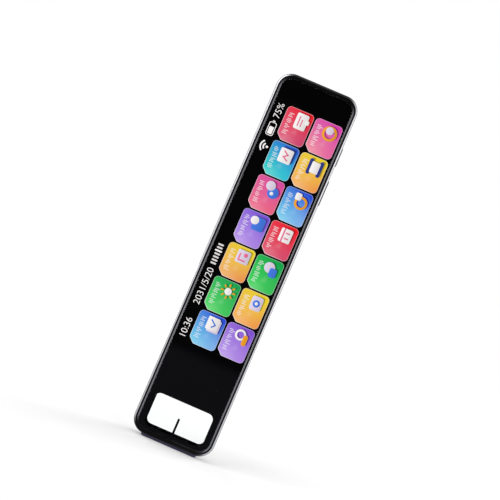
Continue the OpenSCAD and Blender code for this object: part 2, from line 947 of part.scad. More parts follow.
// Raised plate with bevelled edges, speaker slots and the camera hole
module camera_plate() {
    color("#857ba4")
        difference() {
            hull() {
                along_y(badge_y + layer, badge_face - badge_bevel)
                    badge_outline(0, $fn = hull_fn);
                along_y(badge_face - badge_bevel, badge_face)
                    badge_outline(badge_bevel, $fn = hull_fn);
            }
            for (row = [0 : slot_rows - 1])
                for (slot = slot_plan[row])
                    along_y(badge_y - past, badge_face + past)
                        translate([slot[0], body_l - slot_top - row * slot_pitch])
                            stadium(slot[1], slot_h);
            turned_y(0, cam_z)
                translate([0, badge_y - past])
                    square([cam_hole_r, badge_seat + badge_out + 2 * past]);
        }
}

module speaker_mesh() {
    color("#35353a")
        along_y(badge_y - mesh_t, badge_y)
            translate([0, speaker_z])
                rounded_rect(speaker_open_w + 2 * mesh_edge, speaker_open_l + 2 * mesh_edge, speaker_open_r);
}

module speaker_gasket() {
    color("#26262a")
        along_y(floor_y - layer - gasket_t, floor_y - layer)
            translate([0, speaker_z])
                difference() {
                    rounded_rect(speaker_w, speaker_l, speaker_r);
                    rounded_rect(speaker_open_w, speaker_open_l, speaker_open_r);
                }
}

// Housing with a raised cone inside its open face
module speaker_driver() {
    color("#4a4a50") {
        difference() {
            along_y(speaker_y1 - speaker_t, speaker_y1)
                translate([0, speaker_z])
                    rounded_rect(speaker_w, speaker_l, speaker_r);
            along_y(speaker_y1 - speaker_dish, speaker_y1 + past)
                translate([0, speaker_z])
                    rounded_rect(speaker_open_w, speaker_open_l, speaker_open_r);
        }
        along_y(speaker_y1 - speaker_dish - bond, speaker_y1 - speaker_dish + cone_rise)
            translate([0, speaker_z])
                stadium(speaker_w - 4 * gasket_w, speaker_l - 4 * gasket_w);
    }
}

// Spun ring with a slightly dished face and a neck through the plate
module lens_ring() {
    face = badge_face + layer;
    color("#232327")
        turned_y(0, cam_z)
            polygon([[cam_bezel_r + fit, badge_y], [cam_hole_r - fit, badge_y],
                [cam_hole_r - fit, face], [cam_ring_r, face], [cam_ring_r, face + ring_h / 2],
                [cam_ring_r - ring_h / 2, face + ring_h], [cam_bezel_r + fit, face + ring_h - ring_dish]]);
}

module lens_bezel() {
    top = badge_face + ring_h;
    color("#08080a")
        turned_y(0, cam_z)
            polygon([[cam_glass_r + fit, badge_y], [cam_bezel_r, badge_y], [cam_bezel_r, top - bezel_edge],
                [cam_bezel_r - bezel_edge, top], [cam_glass_r + fit, top - bezel_drop]]);
}

module lens_glass() {
    color("#3a4450", 0.6)
        turned_y(0, cam_z)
            difference() {
                translate([0, badge_y])
                    square([cam_glass_r, badge_seat + badge_out]);
                translate([cam_glass_r, badge_face + dome_r])
                    circle(dome_r);
            }
}

module rear_camera() {
    color("#2e3036") {
        span([-cam_half, cam_half], [board_face + layer, floor_y - cam_neck + bond],
            [cam_z - cam_half, cam_z + cam_half]);
        turned_y(0, cam_z)
            translate([0, floor_y - cam_neck])
                square([cam_bezel_r, badge_y - layer - floor_y + cam_neck]);
    }
}

// ---------- scan window ----------

module rear_window() {
    color("#cfd6da", 0.4)
        along_y(pane_y, pane_y + pane_t)
            translate([0, win_mid])
                rounded_rect(seat_w, seat_h, seat_r);
}

// Rim that follows the rounded end of the shell and slopes down to the pane
module window_rim() {
    color("#303034")
        difference() {
            intersection() {
                slab(0, part_y, back_y, 0, back_edge_r);
                along_y(rim_y, back_y + past)
                    translate([0, win_mid])
                        rounded_rect(seat_w, seat_h, seat_r);
            }
            hull() {
                along_y(rim_y - fit, rim_y)
                    translate([0, win_mid])
                        rounded_rect(win_w, win_h, win_r, $fn = hull_fn);
                along_y(back_y, back_y + fit)
                    translate([0, win_mid])
                        rounded_rect(win_w + 2 * rim_bevel, win_h + 2 * rim_bevel, win_r + rim_bevel,
                            $fn = hull_fn);
            }
        }
}

// Tube between the panes, open to the front and the back, with ports for the lens and the lights
module window_sleeve() {
    color("#1b1b1e")
        difference() {
            union() {
                along_y(sleeve_y0, sleeve_y1)
                    translate([0, (sleeve_z0 + sleeve_z1) / 2])
                        rounded_rect(sleeve_w, sleeve_z1 - sleeve_z0, sleeve_r);
                along_y(sleeve_y1 - sleeve_flange, sleeve_y1)
                    translate([0, win_mid])
                        rounded_rect(seat_w, seat_h, seat_r);
                for (x = [-stand_x, stand_x])
                    translate([x, scan_y, sleeve_z1 - bond])
                        cylinder(h = stand_h + bond, r = stand_r);
            }
            along_y(sleeve_y0 - past, sleeve_y1 + past)
                translate([0, win_mid])
                    rounded_rect(win_w, win_h, win_r);
            translate([0, scan_y, win_top - past])
                cylinder(h = sleeve_wall + 2 * past, r = lens_r + rebate);
            for (x = [-led_x, led_x])
                span([x - led_w / 2 - rebate, x + led_w / 2 + rebate],
                    [scan_y - led_d / 2 - rebate, scan_y + led_d / 2 + rebate],
                    [win_top - past, sleeve_z1 + past]);
            span([-bar_w / 2, bar_w / 2], [nose_y - bar_d / 2, nose_y + bar_d / 2],
                [sleeve_z0 - past, win_z + past]);
        }
}

module scan_camera() {
    color("#3c3e44")
        span([-scan_cam_w / 2, scan_cam_w / 2], [scan_y - scan_cam_d / 2, scan_y + scan_cam_d / 2],
            [scan_cam_z, scan_cam_z + scan_cam_h]);
}

module scan_lens() {
    color("#15151a")
        translate([0, scan_y, lens_eye_z]) {
            translate([0, 0, lens_eye_h])
                cylinder(h = scan_z - layer - lens_eye_z - lens_eye_h, r = lens_r);
            cylinder(h = lens_eye_h + bond, r1 = lens_eye_r - lens_eye_h, r2 = lens_eye_r);
        }
}

module scan_leds() {
    color("#f2efe2")
        for (x = [-led_x, led_x])
            span([x - led_w / 2, x + led_w / 2], [scan_y - led_d / 2, scan_y + led_d / 2],
                [led_z, scan_z - layer]);
}

module scan_board() {
    color("#1d5a36")
        difference() {
            span([-scan_board_w / 2, scan_board_w / 2], [deck_y + fit, deck_y + fit + scan_board_d],
                [scan_z, scan_z + scan_board_t]);
            translate([0, scan_y, scan_z - past])
                cylinder(h = scan_board_t + 2 * past, r = lens_eye_r);
        }
}

// Ribbon under the battery, from the scanner's board to the main board
module scan_flex() {
    x = [-scan_flex_w / 2, scan_flex_w / 2];
    color("#b86a1e") {
        span(x, [ribbon_y, ribbon_y + ribbon_t], [scan_cam_z, scan_flex_end]);
        span(x, [ribbon_y, board_y - layer], [scan_flex_end - scan_flex_l, scan_flex_end]);
    }
}

// ---------- pressure tip ----------

// Quarter ring from the flange, round the corner of the frame, to the foot of a leg
module yoke_arm() {
    along_y(-leg_d / 2, leg_d / 2)
        intersection() {
            translate([corner_x, corner_z])
                difference() {
                    circle(arm_r);
                    circle(arm_r - yoke_t);
                }
            translate([corner_x - bond, corner_z - corner_r])
                square([corner_r, corner_r + bond]);
        }
}

// Tip with its flange, two curved arms and two legs that reach up past the window
module scan_nose() {
    color("#7d62b4")
        difference() {
            union() {
                translate([0, nose_y, 0])
                    hull() {
                        linear_extrude(nose_face_t)
                            rounded_rect(nose_w - 2 * nose_edge, nose_d - 2 * nose_edge, nose_r - nose_edge,
                                $fn = hull_fn);
                        translate([0, 0, nose_edge])
                            linear_extrude(flange_z - nose_edge + bond)
                                rounded_rect(nose_w, nose_d, nose_r, $fn = hull_fn);
                    }
                span([-nose_w / 2 - flange_lip, nose_w / 2 + flange_lip],
                    [nose_y - nose_d / 2 - flange_lip, nose_y + nose_d / 2], [flange_z, flange_top]);
                for (side = [0, 1])
                    mirror([side, 0, 0]) {
                        yoke_arm();
                        span([leg_x - yoke_t, leg_x], [-leg_d / 2, leg_d / 2],
                            [corner_z, corner_z + leg_root]);
                        span([leg_x - leg_t, leg_x], [-leg_d / 2, leg_d / 2],
                            [corner_z + leg_root / 2, leg_top]);
                    }
                // tab that works the switch
                span([-leg_x + leg_t - bond, -leg_x + leg_t + press_tab], [-leg_d / 2, leg_d / 2],
                    [leg_top - press_tab_h, leg_top]);
            }
            span([-bar_w / 2 - fit, bar_w / 2 + fit], [nose_y - bar_d / 2 - fit, nose_y + bar_d / 2 + fit],
                [-past, flange_top + past]);
        }
}

module nose_lens() {
    color("#dfe6ea", 0.5)
        span([-bar_w / 2, bar_w / 2], [nose_y - bar_d / 2, nose_y + bar_d / 2], [recess, flange_top]);
}

nose_plunger_x = -leg_x + leg_t + press_tab / 2;

module nose_plunger() {
    color("#1c1c1e")
        translate([nose_plunger_x, 0, leg_top + layer])
            cylinder(h = nose_plunger_l, r = plunger_r);
}

module nose_switch() {
    z0 = leg_top + layer + nose_travel + rebate;
    color("#c7c9cc")
        difference() {
            span([nose_plunger_x - nose_switch_w / 2 + nose_switch_side,
                    nose_plunger_x + nose_switch_w / 2 + nose_switch_side],
                [deck_y, leg_d / 2], [z0, z0 + nose_switch_h]);
            translate([nose_plunger_x, 0, z0 - past])
                cylinder(h = past + nose_plunger_l - rebate + plunger_gap, r = plunger_r + fit);
        }
}

// Centre of the wire at a share t of the way up a spring
function coil_point(t) = [coil_r * cos(360 * spring_turns * t), coil_r * sin(360 * spring_turns * t),
    wire_r + (spring_l - 2 * wire_r) * t];

// Ring of points round the wire, in the plane through the spring's axis
function wire_ring(t) = [for (k = [0 : wire_sides - 1])
    let (a = 360 * spring_turns * t, b = 360 * k / wire_sides)
        coil_point(t) + wire_r * [cos(b) * cos(a), cos(b) * sin(a), sin(b)]];

module spring() {
    rings = spring_turns * spring_steps;
    points = [for (i = [0 : rings]) each wire_ring(i / rings)];
    sides = [for (i = [0 : rings - 1], k = [0 : wire_sides - 1])
        let (n = (k + 1) % wire_sides)
            [i * wire_sides + k, (i + 1) * wire_sides + k, (i + 1) * wire_sides + n, i * wire_sides + n]];
    start = [for (k = [0 : wire_sides - 1]) k];
    end = [for (k = [wire_sides - 1 : -1 : 0]) rings * wire_sides + k];
    polyhedron(points = points, faces = concat(sides, [start, end]), convexity = 8);
}

module nose_springs() {
    color("#cfd2d6")
        for (x = [-spring_x, spring_x])
            translate([x, 0, spring_z])
                spring();
}

// ---------- electronics ----------

module main_board() {
    color("#1d5a36")
        difference() {
            span([-board_w / 2, board_w / 2], [board_y, board_face], [board_z0, board_z1]);
            span([-usb_w / 2 - usb_gap, usb_w / 2 + usb_gap], [board_y - past, board_face + past],
                [usb_z0 - usb_gap, board_z1 + past]);
            for (x = [-screw_x, screw_x], z = screw_z)
                translate([x, board_face + past, z])
                    rotate([90, 0, 0])
                        cylinder(h = board_t + 2 * past, r = screw_r + fit);
        }
}

// Five-sided metal can over the processor
module shield_can() {
    color("#b9bcc1")
        difference() {
            span([-can_w / 2, can_w / 2], [board_face + layer, board_face + can_h], [can_z, can_z + can_l]);
            span([can_wall - can_w / 2, can_w / 2 - can_wall],
                [board_face - past, board_face + can_h - can_wall],
                [can_z + can_wall, can_z + can_l - can_wall]);
        }
}

// Processor, memory, radio and power chips
module board_chips() {
    color("#202126")
        for (chip = chips)
            span([chip[0] - chip[2] / 2, chip[0] + chip[2] / 2],
                [board_face + layer, board_face + layer + chip[4]],
                [chip[1] - chip[3] / 2, chip[1] + chip[3] / 2]);
}

module board_screws() {
    color("#c9ccd2")
        for (x = [-screw_x, screw_x], z = screw_z)
            translate([x, 0, z])
                rotate([-90, 0, 0]) {
                    translate([0, 0, board_face + layer])
                        cylinder(h = screw_head_h, r = screw_head_r);
                    translate([0, 0, deck_y])
                        cylinder(h = board_face + layer - deck_y + bond, r = screw_r);
                }
}

module battery() {
    color("#3b4657")
        along_y(battery_y, battery_y + battery_t)
            translate([0, battery_mid])
                rounded_rect(battery_w, battery_l, battery_r);
}

module battery_tape() {
    color("#e8e6df")
        along_y(tape_y, tape_y + tape_t)
            translate([0, battery_mid])
                rounded_rect(battery_w - 2 * tape_edge[0], battery_l - 2 * tape_edge[1], battery_r);
}

module battery_lead() {
    color("#8c2f2b") {
        span(lead_x, lead_y, [battery_z + battery_l + layer, board_z0 + lead_l]);
        span(plug_x, [board_face + layer, board_face + plug_t], plug_z);
    }
}

// Inlet for the charging plug, open at the top
module usb_port() {
    color("#c9ccd2")
        translate([0, usb_y, usb_z0])
            difference() {
                linear_extrude(usb_l)
                    stadium(usb_w, usb_h);
                translate([0, 0, usb_base])
                    linear_extrude(usb_l)
                        stadium(usb_w - 2 * usb_wall, usb_h - 2 * usb_wall);
            }
}

module usb_tongue() {
    color("#17171a")
        span([-tongue_w / 2, tongue_w / 2], [usb_y - tongue_t / 2, usb_y + tongue_t / 2],
            [usb_z0 + usb_base, usb_z1 - tongue_back]);
}

module microphones() {
    color("#d0c69a")
        for (x = [-mic_x, mic_x])
            span([x - mic_w / 2, x + mic_w / 2], [mic_y - mic_d / 2, mic_y + mic_d / 2],
                [body_l - wall - layer - mic_h, body_l - wall - layer]);
}

module antenna() {
    color("#c2762a")
        span([-antenna_w / 2, antenna_w / 2], [floor_y - layer - ribbon_t, floor_y - layer],
            [antenna_z, antenna_z + antenna_l]);
}

front_glass();
glass_mask();
display_panel();
backlight();
display_flex();
trim_ring();
mid_frame();
power_key();
power_plunger();
power_switch();
voice_key();
voice_plunger();
voice_switch();
key_flex();
back_shell();
camera_plate();
speaker_mesh();
speaker_gasket();
speaker_driver();
lens_ring();
lens_bezel();
lens_glass();
rear_camera();
rear_window();
window_rim();
window_sleeve();
scan_camera();
scan_lens();
scan_leds();
scan_board();
scan_flex();
scan_nose();
nose_lens();
nose_plunger();
nose_springs();
nose_switch();
main_board();
shield_can();
board_chips();
board_screws();
battery();
battery_tape();
battery_lead();
usb_port();
usb_tongue();
microphones();
antenna();
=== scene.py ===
import json
import math

import bmesh
import bpy
import numpy as np
from bpy.props import FloatProperty, FloatVectorProperty, PointerProperty
from mathutils import Matrix, Vector


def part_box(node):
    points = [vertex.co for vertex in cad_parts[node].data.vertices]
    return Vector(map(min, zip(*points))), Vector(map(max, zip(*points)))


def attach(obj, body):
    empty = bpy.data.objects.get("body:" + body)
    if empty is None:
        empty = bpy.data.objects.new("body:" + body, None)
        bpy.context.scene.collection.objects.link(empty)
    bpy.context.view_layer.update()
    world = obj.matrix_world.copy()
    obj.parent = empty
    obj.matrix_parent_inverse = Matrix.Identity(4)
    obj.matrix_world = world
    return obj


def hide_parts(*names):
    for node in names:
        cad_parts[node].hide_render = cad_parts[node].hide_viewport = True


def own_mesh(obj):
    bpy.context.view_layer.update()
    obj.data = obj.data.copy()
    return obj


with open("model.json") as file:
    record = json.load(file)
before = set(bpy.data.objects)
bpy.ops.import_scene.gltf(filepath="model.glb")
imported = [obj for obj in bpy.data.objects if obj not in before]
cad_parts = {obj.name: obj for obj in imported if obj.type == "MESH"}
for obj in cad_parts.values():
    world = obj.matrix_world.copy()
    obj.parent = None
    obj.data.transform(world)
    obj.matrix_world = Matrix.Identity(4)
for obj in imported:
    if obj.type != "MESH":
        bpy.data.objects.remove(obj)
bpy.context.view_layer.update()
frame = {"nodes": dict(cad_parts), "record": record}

bl_info = {
    "name": "Handheld translator",
    "version": (1, 0, 0),
    "blender": (4, 5, 0),
    "location": "View3D > Sidebar > Translator",
    "description": "Dresses the packed frame of a handheld translator with its screen and finishes",
    "category": "Object",
}

MM = 0.001

# stretches of a pattern along X, Y and Z: even, drawn along the body, and wiped along it
EVEN, DRAWN, WIPED = (1, 1, 1), (1, 1, 0.04), (1, 1, 0.2)


def linear(tone):
    """A colour in linear light. One that is written as six hexadecimal digits holds screen values
    and is turned."""
    if not isinstance(tone, str):
        return tuple(tone[:3])
    parts = np.array([int(tone[k:k + 2], 16) for k in (0, 2, 4)]) / 255
    return tuple(np.where(parts <= 0.04045, parts / 12.92, ((parts + 0.055) / 1.055) ** 2.4))


def shade(tone, factor):
    """A colour made lighter or darker by a factor."""
    return tuple(min(1.0, channel * factor) for channel in linear(tone))


def box_mm(node):
    """Low and high corner of a CAD node's box, in millimetres."""
    return tuple(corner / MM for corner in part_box(node))


def colour(name, text, note):
    """A colour setting of the panel."""
    return FloatVectorProperty(name=name, description=note, subtype="COLOR", size=3, min=0, max=1,
                               default=linear(text))


def number(name, value, note, **options):
    """A number setting of the panel."""
    return FloatProperty(name=name, description=note, default=value, **options)


def length(name, size_mm, note):
    """A length setting of the panel, given in millimetres and kept in metres."""
    return number(name, size_mm * MM, note, min=0, unit="LENGTH", precision=5)


# ---------- settings ----------

class TranslatorColours(bpy.types.PropertyGroup):
    """Colours of the finishes."""
    shell: colour("Back shell", "69696b", "Moulded shell of the back")
    shell_end: colour("Shell round the window", "2b2b2e", "Darker lower end of the shell")
    metal: colour("Frame", "2e2e32", "Metal of the frame and the keys")
    # painted highlight: this bright line stands in for light caught by the frame's rounded front
    # edge
    cut: colour("Cut edge", "b2b2b6", "Bright line that is cut along the frame's front edge")
    trim: colour("Trim ring", "6e6e72", "Polished ring round the glass")
    plate: colour("Camera plate", "757192", "Raised plate round the rear camera")
    # painted shade: the bevel's darker colour stands in for shade on it
    plate_edge: colour("Camera plate's bevel", "423a70", "Bevel of that plate")
    tip: colour("Pressure tip", "2b2650", "Tip that is set on the page")
    black: colour("Mask", "050506", "Print behind the glass")


class TranslatorSizes(bpy.types.PropertyGroup):
    """Sizes of the pieces that are made here."""
    tile_radius: length("Tile corner", 1.7, "Corner radius of a screen tile")
    tile_cut: length("Tile cut", 2.3, "Cut of a tile's lower left corner")
    tile_edge: length("Tile edge", 0.16, "Width of a tile's bright edge")
    digit_height: length("Numeral height", 2.7, "Height of the numerals in the status column")
    groove_pitch: length("Groove pitch", 0.14, "Pitch of the spun grooves on the camera ring")
    groove_depth: length("Groove depth", 0.02, "Depth of those grooves")
    chevron_gap: length("Chevron gap", 0.21, "Dark line left round a chevron's inlay")


class TranslatorStudio(bpy.types.PropertyGroup):
    """Camera, lamps and background."""
    lens: number("Lens", 100, "Focal length", subtype="DISTANCE_CAMERA")
    distance: length("Distance", 570, "Distance from the camera to the object")
    roll: number("Roll", math.radians(23.3), "Lean of the object to the right", subtype="ANGLE")
    azimuth: number("Azimuth", math.radians(2), "Turn of the camera to the right", subtype="ANGLE")
    ambient: number("Ambient", 0.55, "Light of the room", min=0)
    lamps: number("Lamps", 1.0, "Level of the soft lamps", min=0)


def setting(group):
    """One of the scene's groups of settings: colours, sizes or studio."""
    return getattr(bpy.context.scene, "translator_" + group)


def linked(name, data):
    """A new object of that name in the scene."""
    item = bpy.data.objects.new(name, data)
    bpy.context.scene.collection.objects.link(item)
    return item


# ---------- shader maths ----------

def arithmetic(operation, reflected=False):
    """A method of Signal that adds a Math node of that operation on it and another value. The
    reflected form, as in 1 - mask, has the other value first."""
    def method(self, other):
        return self.math(operation, *((other, self) if reflected else (self, other)))
    return method


class Signal:
    """A number that flows between nodes. Python arithmetic on it adds Math nodes."""
    __add__, __radd__ = arithmetic("ADD"), arithmetic("ADD", reflected=True)
    __sub__, __rsub__ = arithmetic("SUBTRACT"), arithmetic("SUBTRACT", reflected=True)
    __mul__, __rmul__ = arithmetic("MULTIPLY"), arithmetic("MULTIPLY", reflected=True)
    __truediv__, __pow__ = arithmetic("DIVIDE"), arithmetic("POWER")
    most, least = arithmetic("MAXIMUM"), arithmetic("MINIMUM")

    def __init__(self, finish, socket):
        self.finish = finish
        self.socket = socket

    def math(self, operation, *values):
        """The result of a Math node of that operation on the values, in their order."""
        return self.finish.node("ShaderNodeMath", {"operation": operation}, dict(enumerate(values)))

    def __abs__(self):
        return self.math("ABSOLUTE", self)

    def sine(self):
        """Sine of the signal, in radians."""
        return self.math("SINE", self)

    def step(self, low, high):
        """0 below low and 1 above high, with a smooth rise between them."""
        return self.finish.node(
            "ShaderNodeMapRange", {"interpolation_type": "SMOOTHSTEP"},
            {"Value": self, "From Min": low, "From Max": high})


class Finish:
    """A node-based material in the making, or the world's nodes."""

    def __init__(self, name, tree=None, **constants):
        if tree is None:
            self.material = bpy.data.materials.new(name)
            self.material.use_nodes = True
            self.tree = self.material.node_tree
            self.tree.nodes.clear()
            self.shader = self.tree.nodes.new("ShaderNodeBsdfPrincipled")
            out = self.tree.nodes.new("ShaderNodeOutputMaterial")
            self.tree.links.new(self.shader.outputs[0], out.inputs["Surface"])
        else:
            self.tree = tree
            tree.nodes.clear()
        for key, value in constants.items():
            self.put(key.replace("_", " ").title().replace("Ior", "IOR"), value)

    def node(self, kind, settings=None, sockets=None, output=0):
        """A node of that kind: its settings come first, then the values or links of its sockets."""
        node = self.tree.nodes.new(kind)
        for key, value in (settings or {}).items():
            setattr(node, key, value)
        for key, value in (sockets or {}).items():
            self.feed(node.inputs[key], value)
        return Signal(self, node.outputs[output])

    def feed(self, socket, value):
        """Links a signal to a socket, or sets a plain value on it."""
        if isinstance(value, Signal):
            self.tree.links.new(value.socket, socket)
        elif socket.type == "RGBA":
            socket.default_value = (*linear(value), 1)
        else:
            socket.default_value = value

    def put(self, name, value):
        """Feeds a socket of the Principled shader."""
        self.feed(self.shader.inputs[name], value)
        return self

    def place(self, stretch=EVEN):
        """Object coordinates, in metres, stretched by a factor along each axis."""
        point = self.node("ShaderNodeTexCoord", output="Object")
        if stretch == EVEN:
            return point
        return self.node("ShaderNodeVectorMath", {"operation": "MULTIPLY"}, {0: point, 1: stretch})

    def axes(self):
        """X, Y and Z of the object coordinates, in millimetres."""
        split = self.tree.nodes.new("ShaderNodeSeparateXYZ")
        self.feed(split.inputs[0], self.place())
        return [Signal(self, out) * (1 / MM) for out in split.outputs]

    def noise(self, grain, detail=2, stretch=EVEN):
        """Noise from 0 to 1 with grains of about that size in millimetres."""
        return self.node("ShaderNodeTexNoise", None, {
            "Vector": self.place(stretch), "Scale": 1 / (grain * MM), "Detail": detail})

    def cells(self, size, stretch, randomness=1.0):
        """Distance from the middle of the nearest cell, as a share of a cell's size."""
        return self.node("ShaderNodeTexVoronoi", None, {
            "Vector": self.place(stretch), "Scale": 1 / (size * MM), "Randomness": randomness})

    def blend(self, first, second, share):
        """A colour between first and second by share."""
        return self.node("ShaderNodeMix", {"data_type": "RGBA"}, {0: share, 6: first, 7: second},
                         output=2)

    def clouds(self, tone, low, high, grain, detail=2):
        """A tone that drifts between its shades by the factors low and high, in clouds of that
        size."""
        return self.blend(shade(tone, low), shade(tone, high), self.noise(grain, detail))

    def rough(self, base, spread, grain, detail=2, stretch=EVEN):
        """Feeds the roughness with a base and a spread of noise above it."""
        return self.put("Roughness", base + spread * self.noise(grain, detail, stretch))

    def relief(self, height, depth):
        """Feeds the normal with a relief of that height signal, as deep from 0 to 1 as said."""
        return self.put("Normal", self.node("ShaderNodeBump", None, {
            "Height": height, "Distance": depth * MM}))


# ---------- finishes ----------

# the constants of a finish that only glows
LIT = {"base_color": (0, 0, 0), "specular_ior_level": 0.0, "emission_strength": 1.0}


def moulded(name, tone, roughness, grain=0.22, depth=0.012, **constants):
    """Moulded plastic: an eroded grain of that size and depth, faint mottling, an uneven sheen."""
    f = Finish(name, **constants)
    f.put("Base Color", f.clouds(tone, 0.92, 1.08, 5.0, 3))
    f.rough(roughness - 0.06, 0.12, 1.6)
    return f.relief(f.noise(grain), depth)


def brushed(name, tone, roughness):
    """Blasted and anodised metal with a faint draw along its length."""
    f = Finish(name, metallic=1.0)
    draw = f.noise(0.5, 3, DRAWN)
    f.put("Base Color", f.clouds(tone, 0.93, 1.05, 3.0))
    f.put("Roughness", roughness - 0.05 + 0.1 * draw)
    return f.relief(draw, 0.004)


def polished(name, tone, roughness):
    """Polished metal with faint wiping marks."""
    f = Finish(name, metallic=1.0)
    f.put("Base Color", f.clouds(tone, 0.95, 1.03, 6.0))
    return f.rough(roughness - 0.03, 0.08, 1.5, 4, WIPED)


def clear(name, tone, index=1.003, border=0):
    """Clear, faintly smudged glass with an anti-glare coat: seen face on it hardly reflects, and
    its gloss rises as it is seen more from the side. A border is the distance in from the body's
    outline at which the coat of the cover glass begins."""
    f = Finish(name, transmission_weight=1.0, ior=index, coat_roughness=0.02)
    f.put("Base Color", f.clouds(tone, 1, 0.985, 9.0))
    f.put("Roughness", 0.03 * f.noise(7.0, 4).step(0.55, 0.8))
    facing = f.node("ShaderNodeLayerWeight", None, {"Blend": 0.5}, output="Facing")
    coated = facing.step(0.04, 0.3)
    if border:
        x, y, z = f.axes()
        coated = coated * inset(x, z).step(border, border + 0.2)
    return f.put("Coat Weight", coated)


def inset(x, z):
    """Distance in millimetres that a point lies in from the body's outline, a rectangle with
    rounded corners: the corner radius less the length by which the point lies past the corners'
    centres."""
    low, high = box_mm("mid_frame")
    radius = 6.5
    past_x = abs(x) - (high.x - radius)
    past_z = abs(z - (low.z + high.z) / 2) - ((high.z - low.z) / 2 - radius)
    out_x, out_z = past_x.most(0), past_z.most(0)
    flat = past_x.most(past_z).least(0)
    return radius - (out_x * out_x + out_z * out_z) ** 0.5 - flat


def between_ends(x, z, right, left, top):
    """1 along the body and 0 at its ends: it rises from the tip over a range of Z on the right
    and another one on the left, and falls over a third range at the charging end."""
    side = x.step(-1, 1)
    return (z.step(*right) * side + z.step(*left) * (1 - side)) * (1 - z.step(*top))


def shell_finish():
    """Matte grey shell, charcoal round the window, with a near-black band of painted dark
    reflection along both rounded flanks and a lighter painted highlight on the rim outside it. Band
    and rim fade at both ends."""
    colours = setting("colours")
    f = Finish("shell_plastic", specular_ior_level=0.05)
    x, y, z = f.axes()
    edge = inset(x, z)
    sides = z.step(1, 11) * (1 - z.step(154.8, 159.8))
    # masks of the painted highlight on the outer rim and the painted dark reflection along the
    # flanks
    rim = (1 - edge.step(0.9, 1.7)) * sides
    band = edge.step(1.1, 2.6) * (1 - edge.step(3.3, 5.2)) * (0.25 + 0.75 * sides)
    grey = f.clouds(colours.shell, 0.95, 1.05, 7.0, 3)
    # the rim painted lighter as highlight, the band painted near black as dark reflection
    grey = f.blend(grey, shade(colours.shell, 1.35), rim)
    grey = f.blend(grey, shade(colours.shell_end, 0.08), 0.98 * band)
    f.put("Base Color", f.blend(grey, colours.shell_end, 1 - z.step(15, 21)))
    f.rough(0.47, 0.1, 1.8)
    return f.relief(f.noise(0.2), 0.012)


def frame_finish():
    """Gunmetal flanks, a front face painted near black as shade, darker still towards the top, and
    a painted highlight along its rounded front edge. The highlight runs round the corners and fades
    out at the ends, sooner at the lower left corner."""
    colours = setting("colours")
    f = Finish("frame_metal", metallic=1.0)
    x, y, z = f.axes()
    deep = y - box_mm("mid_frame")[0].y
    # mask of the painted highlight along the rounded front edge, fading at the ends, sooner on the
    # left
    ends = between_ends(x, z, (1.6, 3.4), (3.5, 7.5), (157.9, 159.8))
    line = (1 - inset(x, z).step(0.66, 0.76)) * (1 - deep.step(0.24, 0.32)) * ends
    draw = f.noise(0.5, 3, DRAWN)
    flank = f.clouds(colours.metal, 0.9, 1.1, 3.0)
    # painted shade: the front face near black, darker still towards the top
    front = f.blend(shade(colours.metal, 0.3), shade(colours.metal, 0.12), z.step(20, 140))
    dark = f.blend(front, flank, deep.step(0.4, 1.0))
    # the bright line is painted highlight
    f.put("Base Color", f.blend(dark, colours.cut, line))
    f.put("Roughness", 0.2 + 0.1 * draw + 0.08 * line)
    return f.relief(draw, 0.003)


def trim_finish():
    """Polished ring with wiping marks and painted dark reflection: its grey shows only in an inner
    band beside the glass, the outer band is painted near black, darker still towards the top, and
    both are near black round the ends."""
    trim = setting("colours").trim
    f = Finish("trim_metal", metallic=1.0)
    x, y, z = f.axes()
    # painted reflection: the grey band fades into the painted dark at both ends, sooner at the
    # lower left
    ends = between_ends(x, z, (2.5, 5.5), (4.5, 9), (153, 157.5))
    band = inset(x, z).step(1.4, 1.5) * ends
    # painted dark reflection, darker still towards the top
    dark = f.blend(shade(trim, 0.05), shade(trim, 0.03), z.step(20, 140))
    f.put("Base Color", f.blend(dark, f.clouds(trim, 0.95, 1.05, 6.0), band))
    return f.rough(0.16, 0.08, 1.5, 4, WIPED)


def plate_finish():
    """Fine-blasted lavender plate with a bevel painted darker as shade."""
    colours = setting("colours")
    f = Finish("plate_lacquer", metallic=0.15, coat_weight=0.05, coat_roughness=0.3,
               specular_ior_level=0.2)
    x, y, z = f.axes()
    top = box_mm("camera_plate")[1].y
    # mask of the bevel that is painted darker as shade
    bevel = 1 - y.step(top - 0.09, top - 0.02)
    face = f.clouds(colours.plate, 0.95, 1.05, 3.0)
    f.put("Base Color", f.blend(face, colours.plate_edge, bevel))
    f.rough(0.42, 0.08, 1.2)
    return f.relief(f.noise(0.15), 0.008)


def mesh_finish():
    """Metal dust mesh: round holes in staggered rows."""
    f = Finish("speaker_mesh", metallic=0.7)
    hole = 1 - f.cells(0.34, (1, 0, 1.1), randomness=0.12).step(0.28, 0.4)
    f.put("Base Color", f.blend("7c7a80", "2a2a2e", hole))
    f.rough(0.4, 0.2, 1.0)
    return f.relief(1 - hole, 0.05)


def mask_finish():
    """Black print behind the glass, a little lighter below the screen. A print this dark scatters
    so little light that it would be grainy, so a faint even glow stands in for it."""
    black = setting("colours").black
    f = Finish("mask_print", **LIT)
    x, y, z = f.axes()
    low, high = f.clouds(black, 3.0, 3.4, 9.0), f.clouds(black, 0.7, 1.1, 9.0)
    f.put("Emission Color", f.blend(low, high, z.step(36, 42)))
    return f.rough(0.5, 0.1, 0.4)


def screen_finish():
    """Black display panel with the faint uneven glow of its light unit."""
    f = Finish("display_black", **LIT)
    f.put("Emission Color", f.blend("040405", "070708", f.noise(14.0)))
    return f.rough(0.3, 0.05, 3.0)


def light_finish(name):
    """Lit artwork of the display: the mesh's paint gives the colour, with a faint uneven glow."""
    f = Finish(name, **LIT)
    paint = f.node("ShaderNodeAttribute", {"attribute_name": "paint"}, output="Color")
    f.put("Emission Color", f.blend((0, 0, 0), paint, 0.95 + 0.05 * f.noise(6.0)))
    return f.rough(0.35, 0.05, 4.0).material


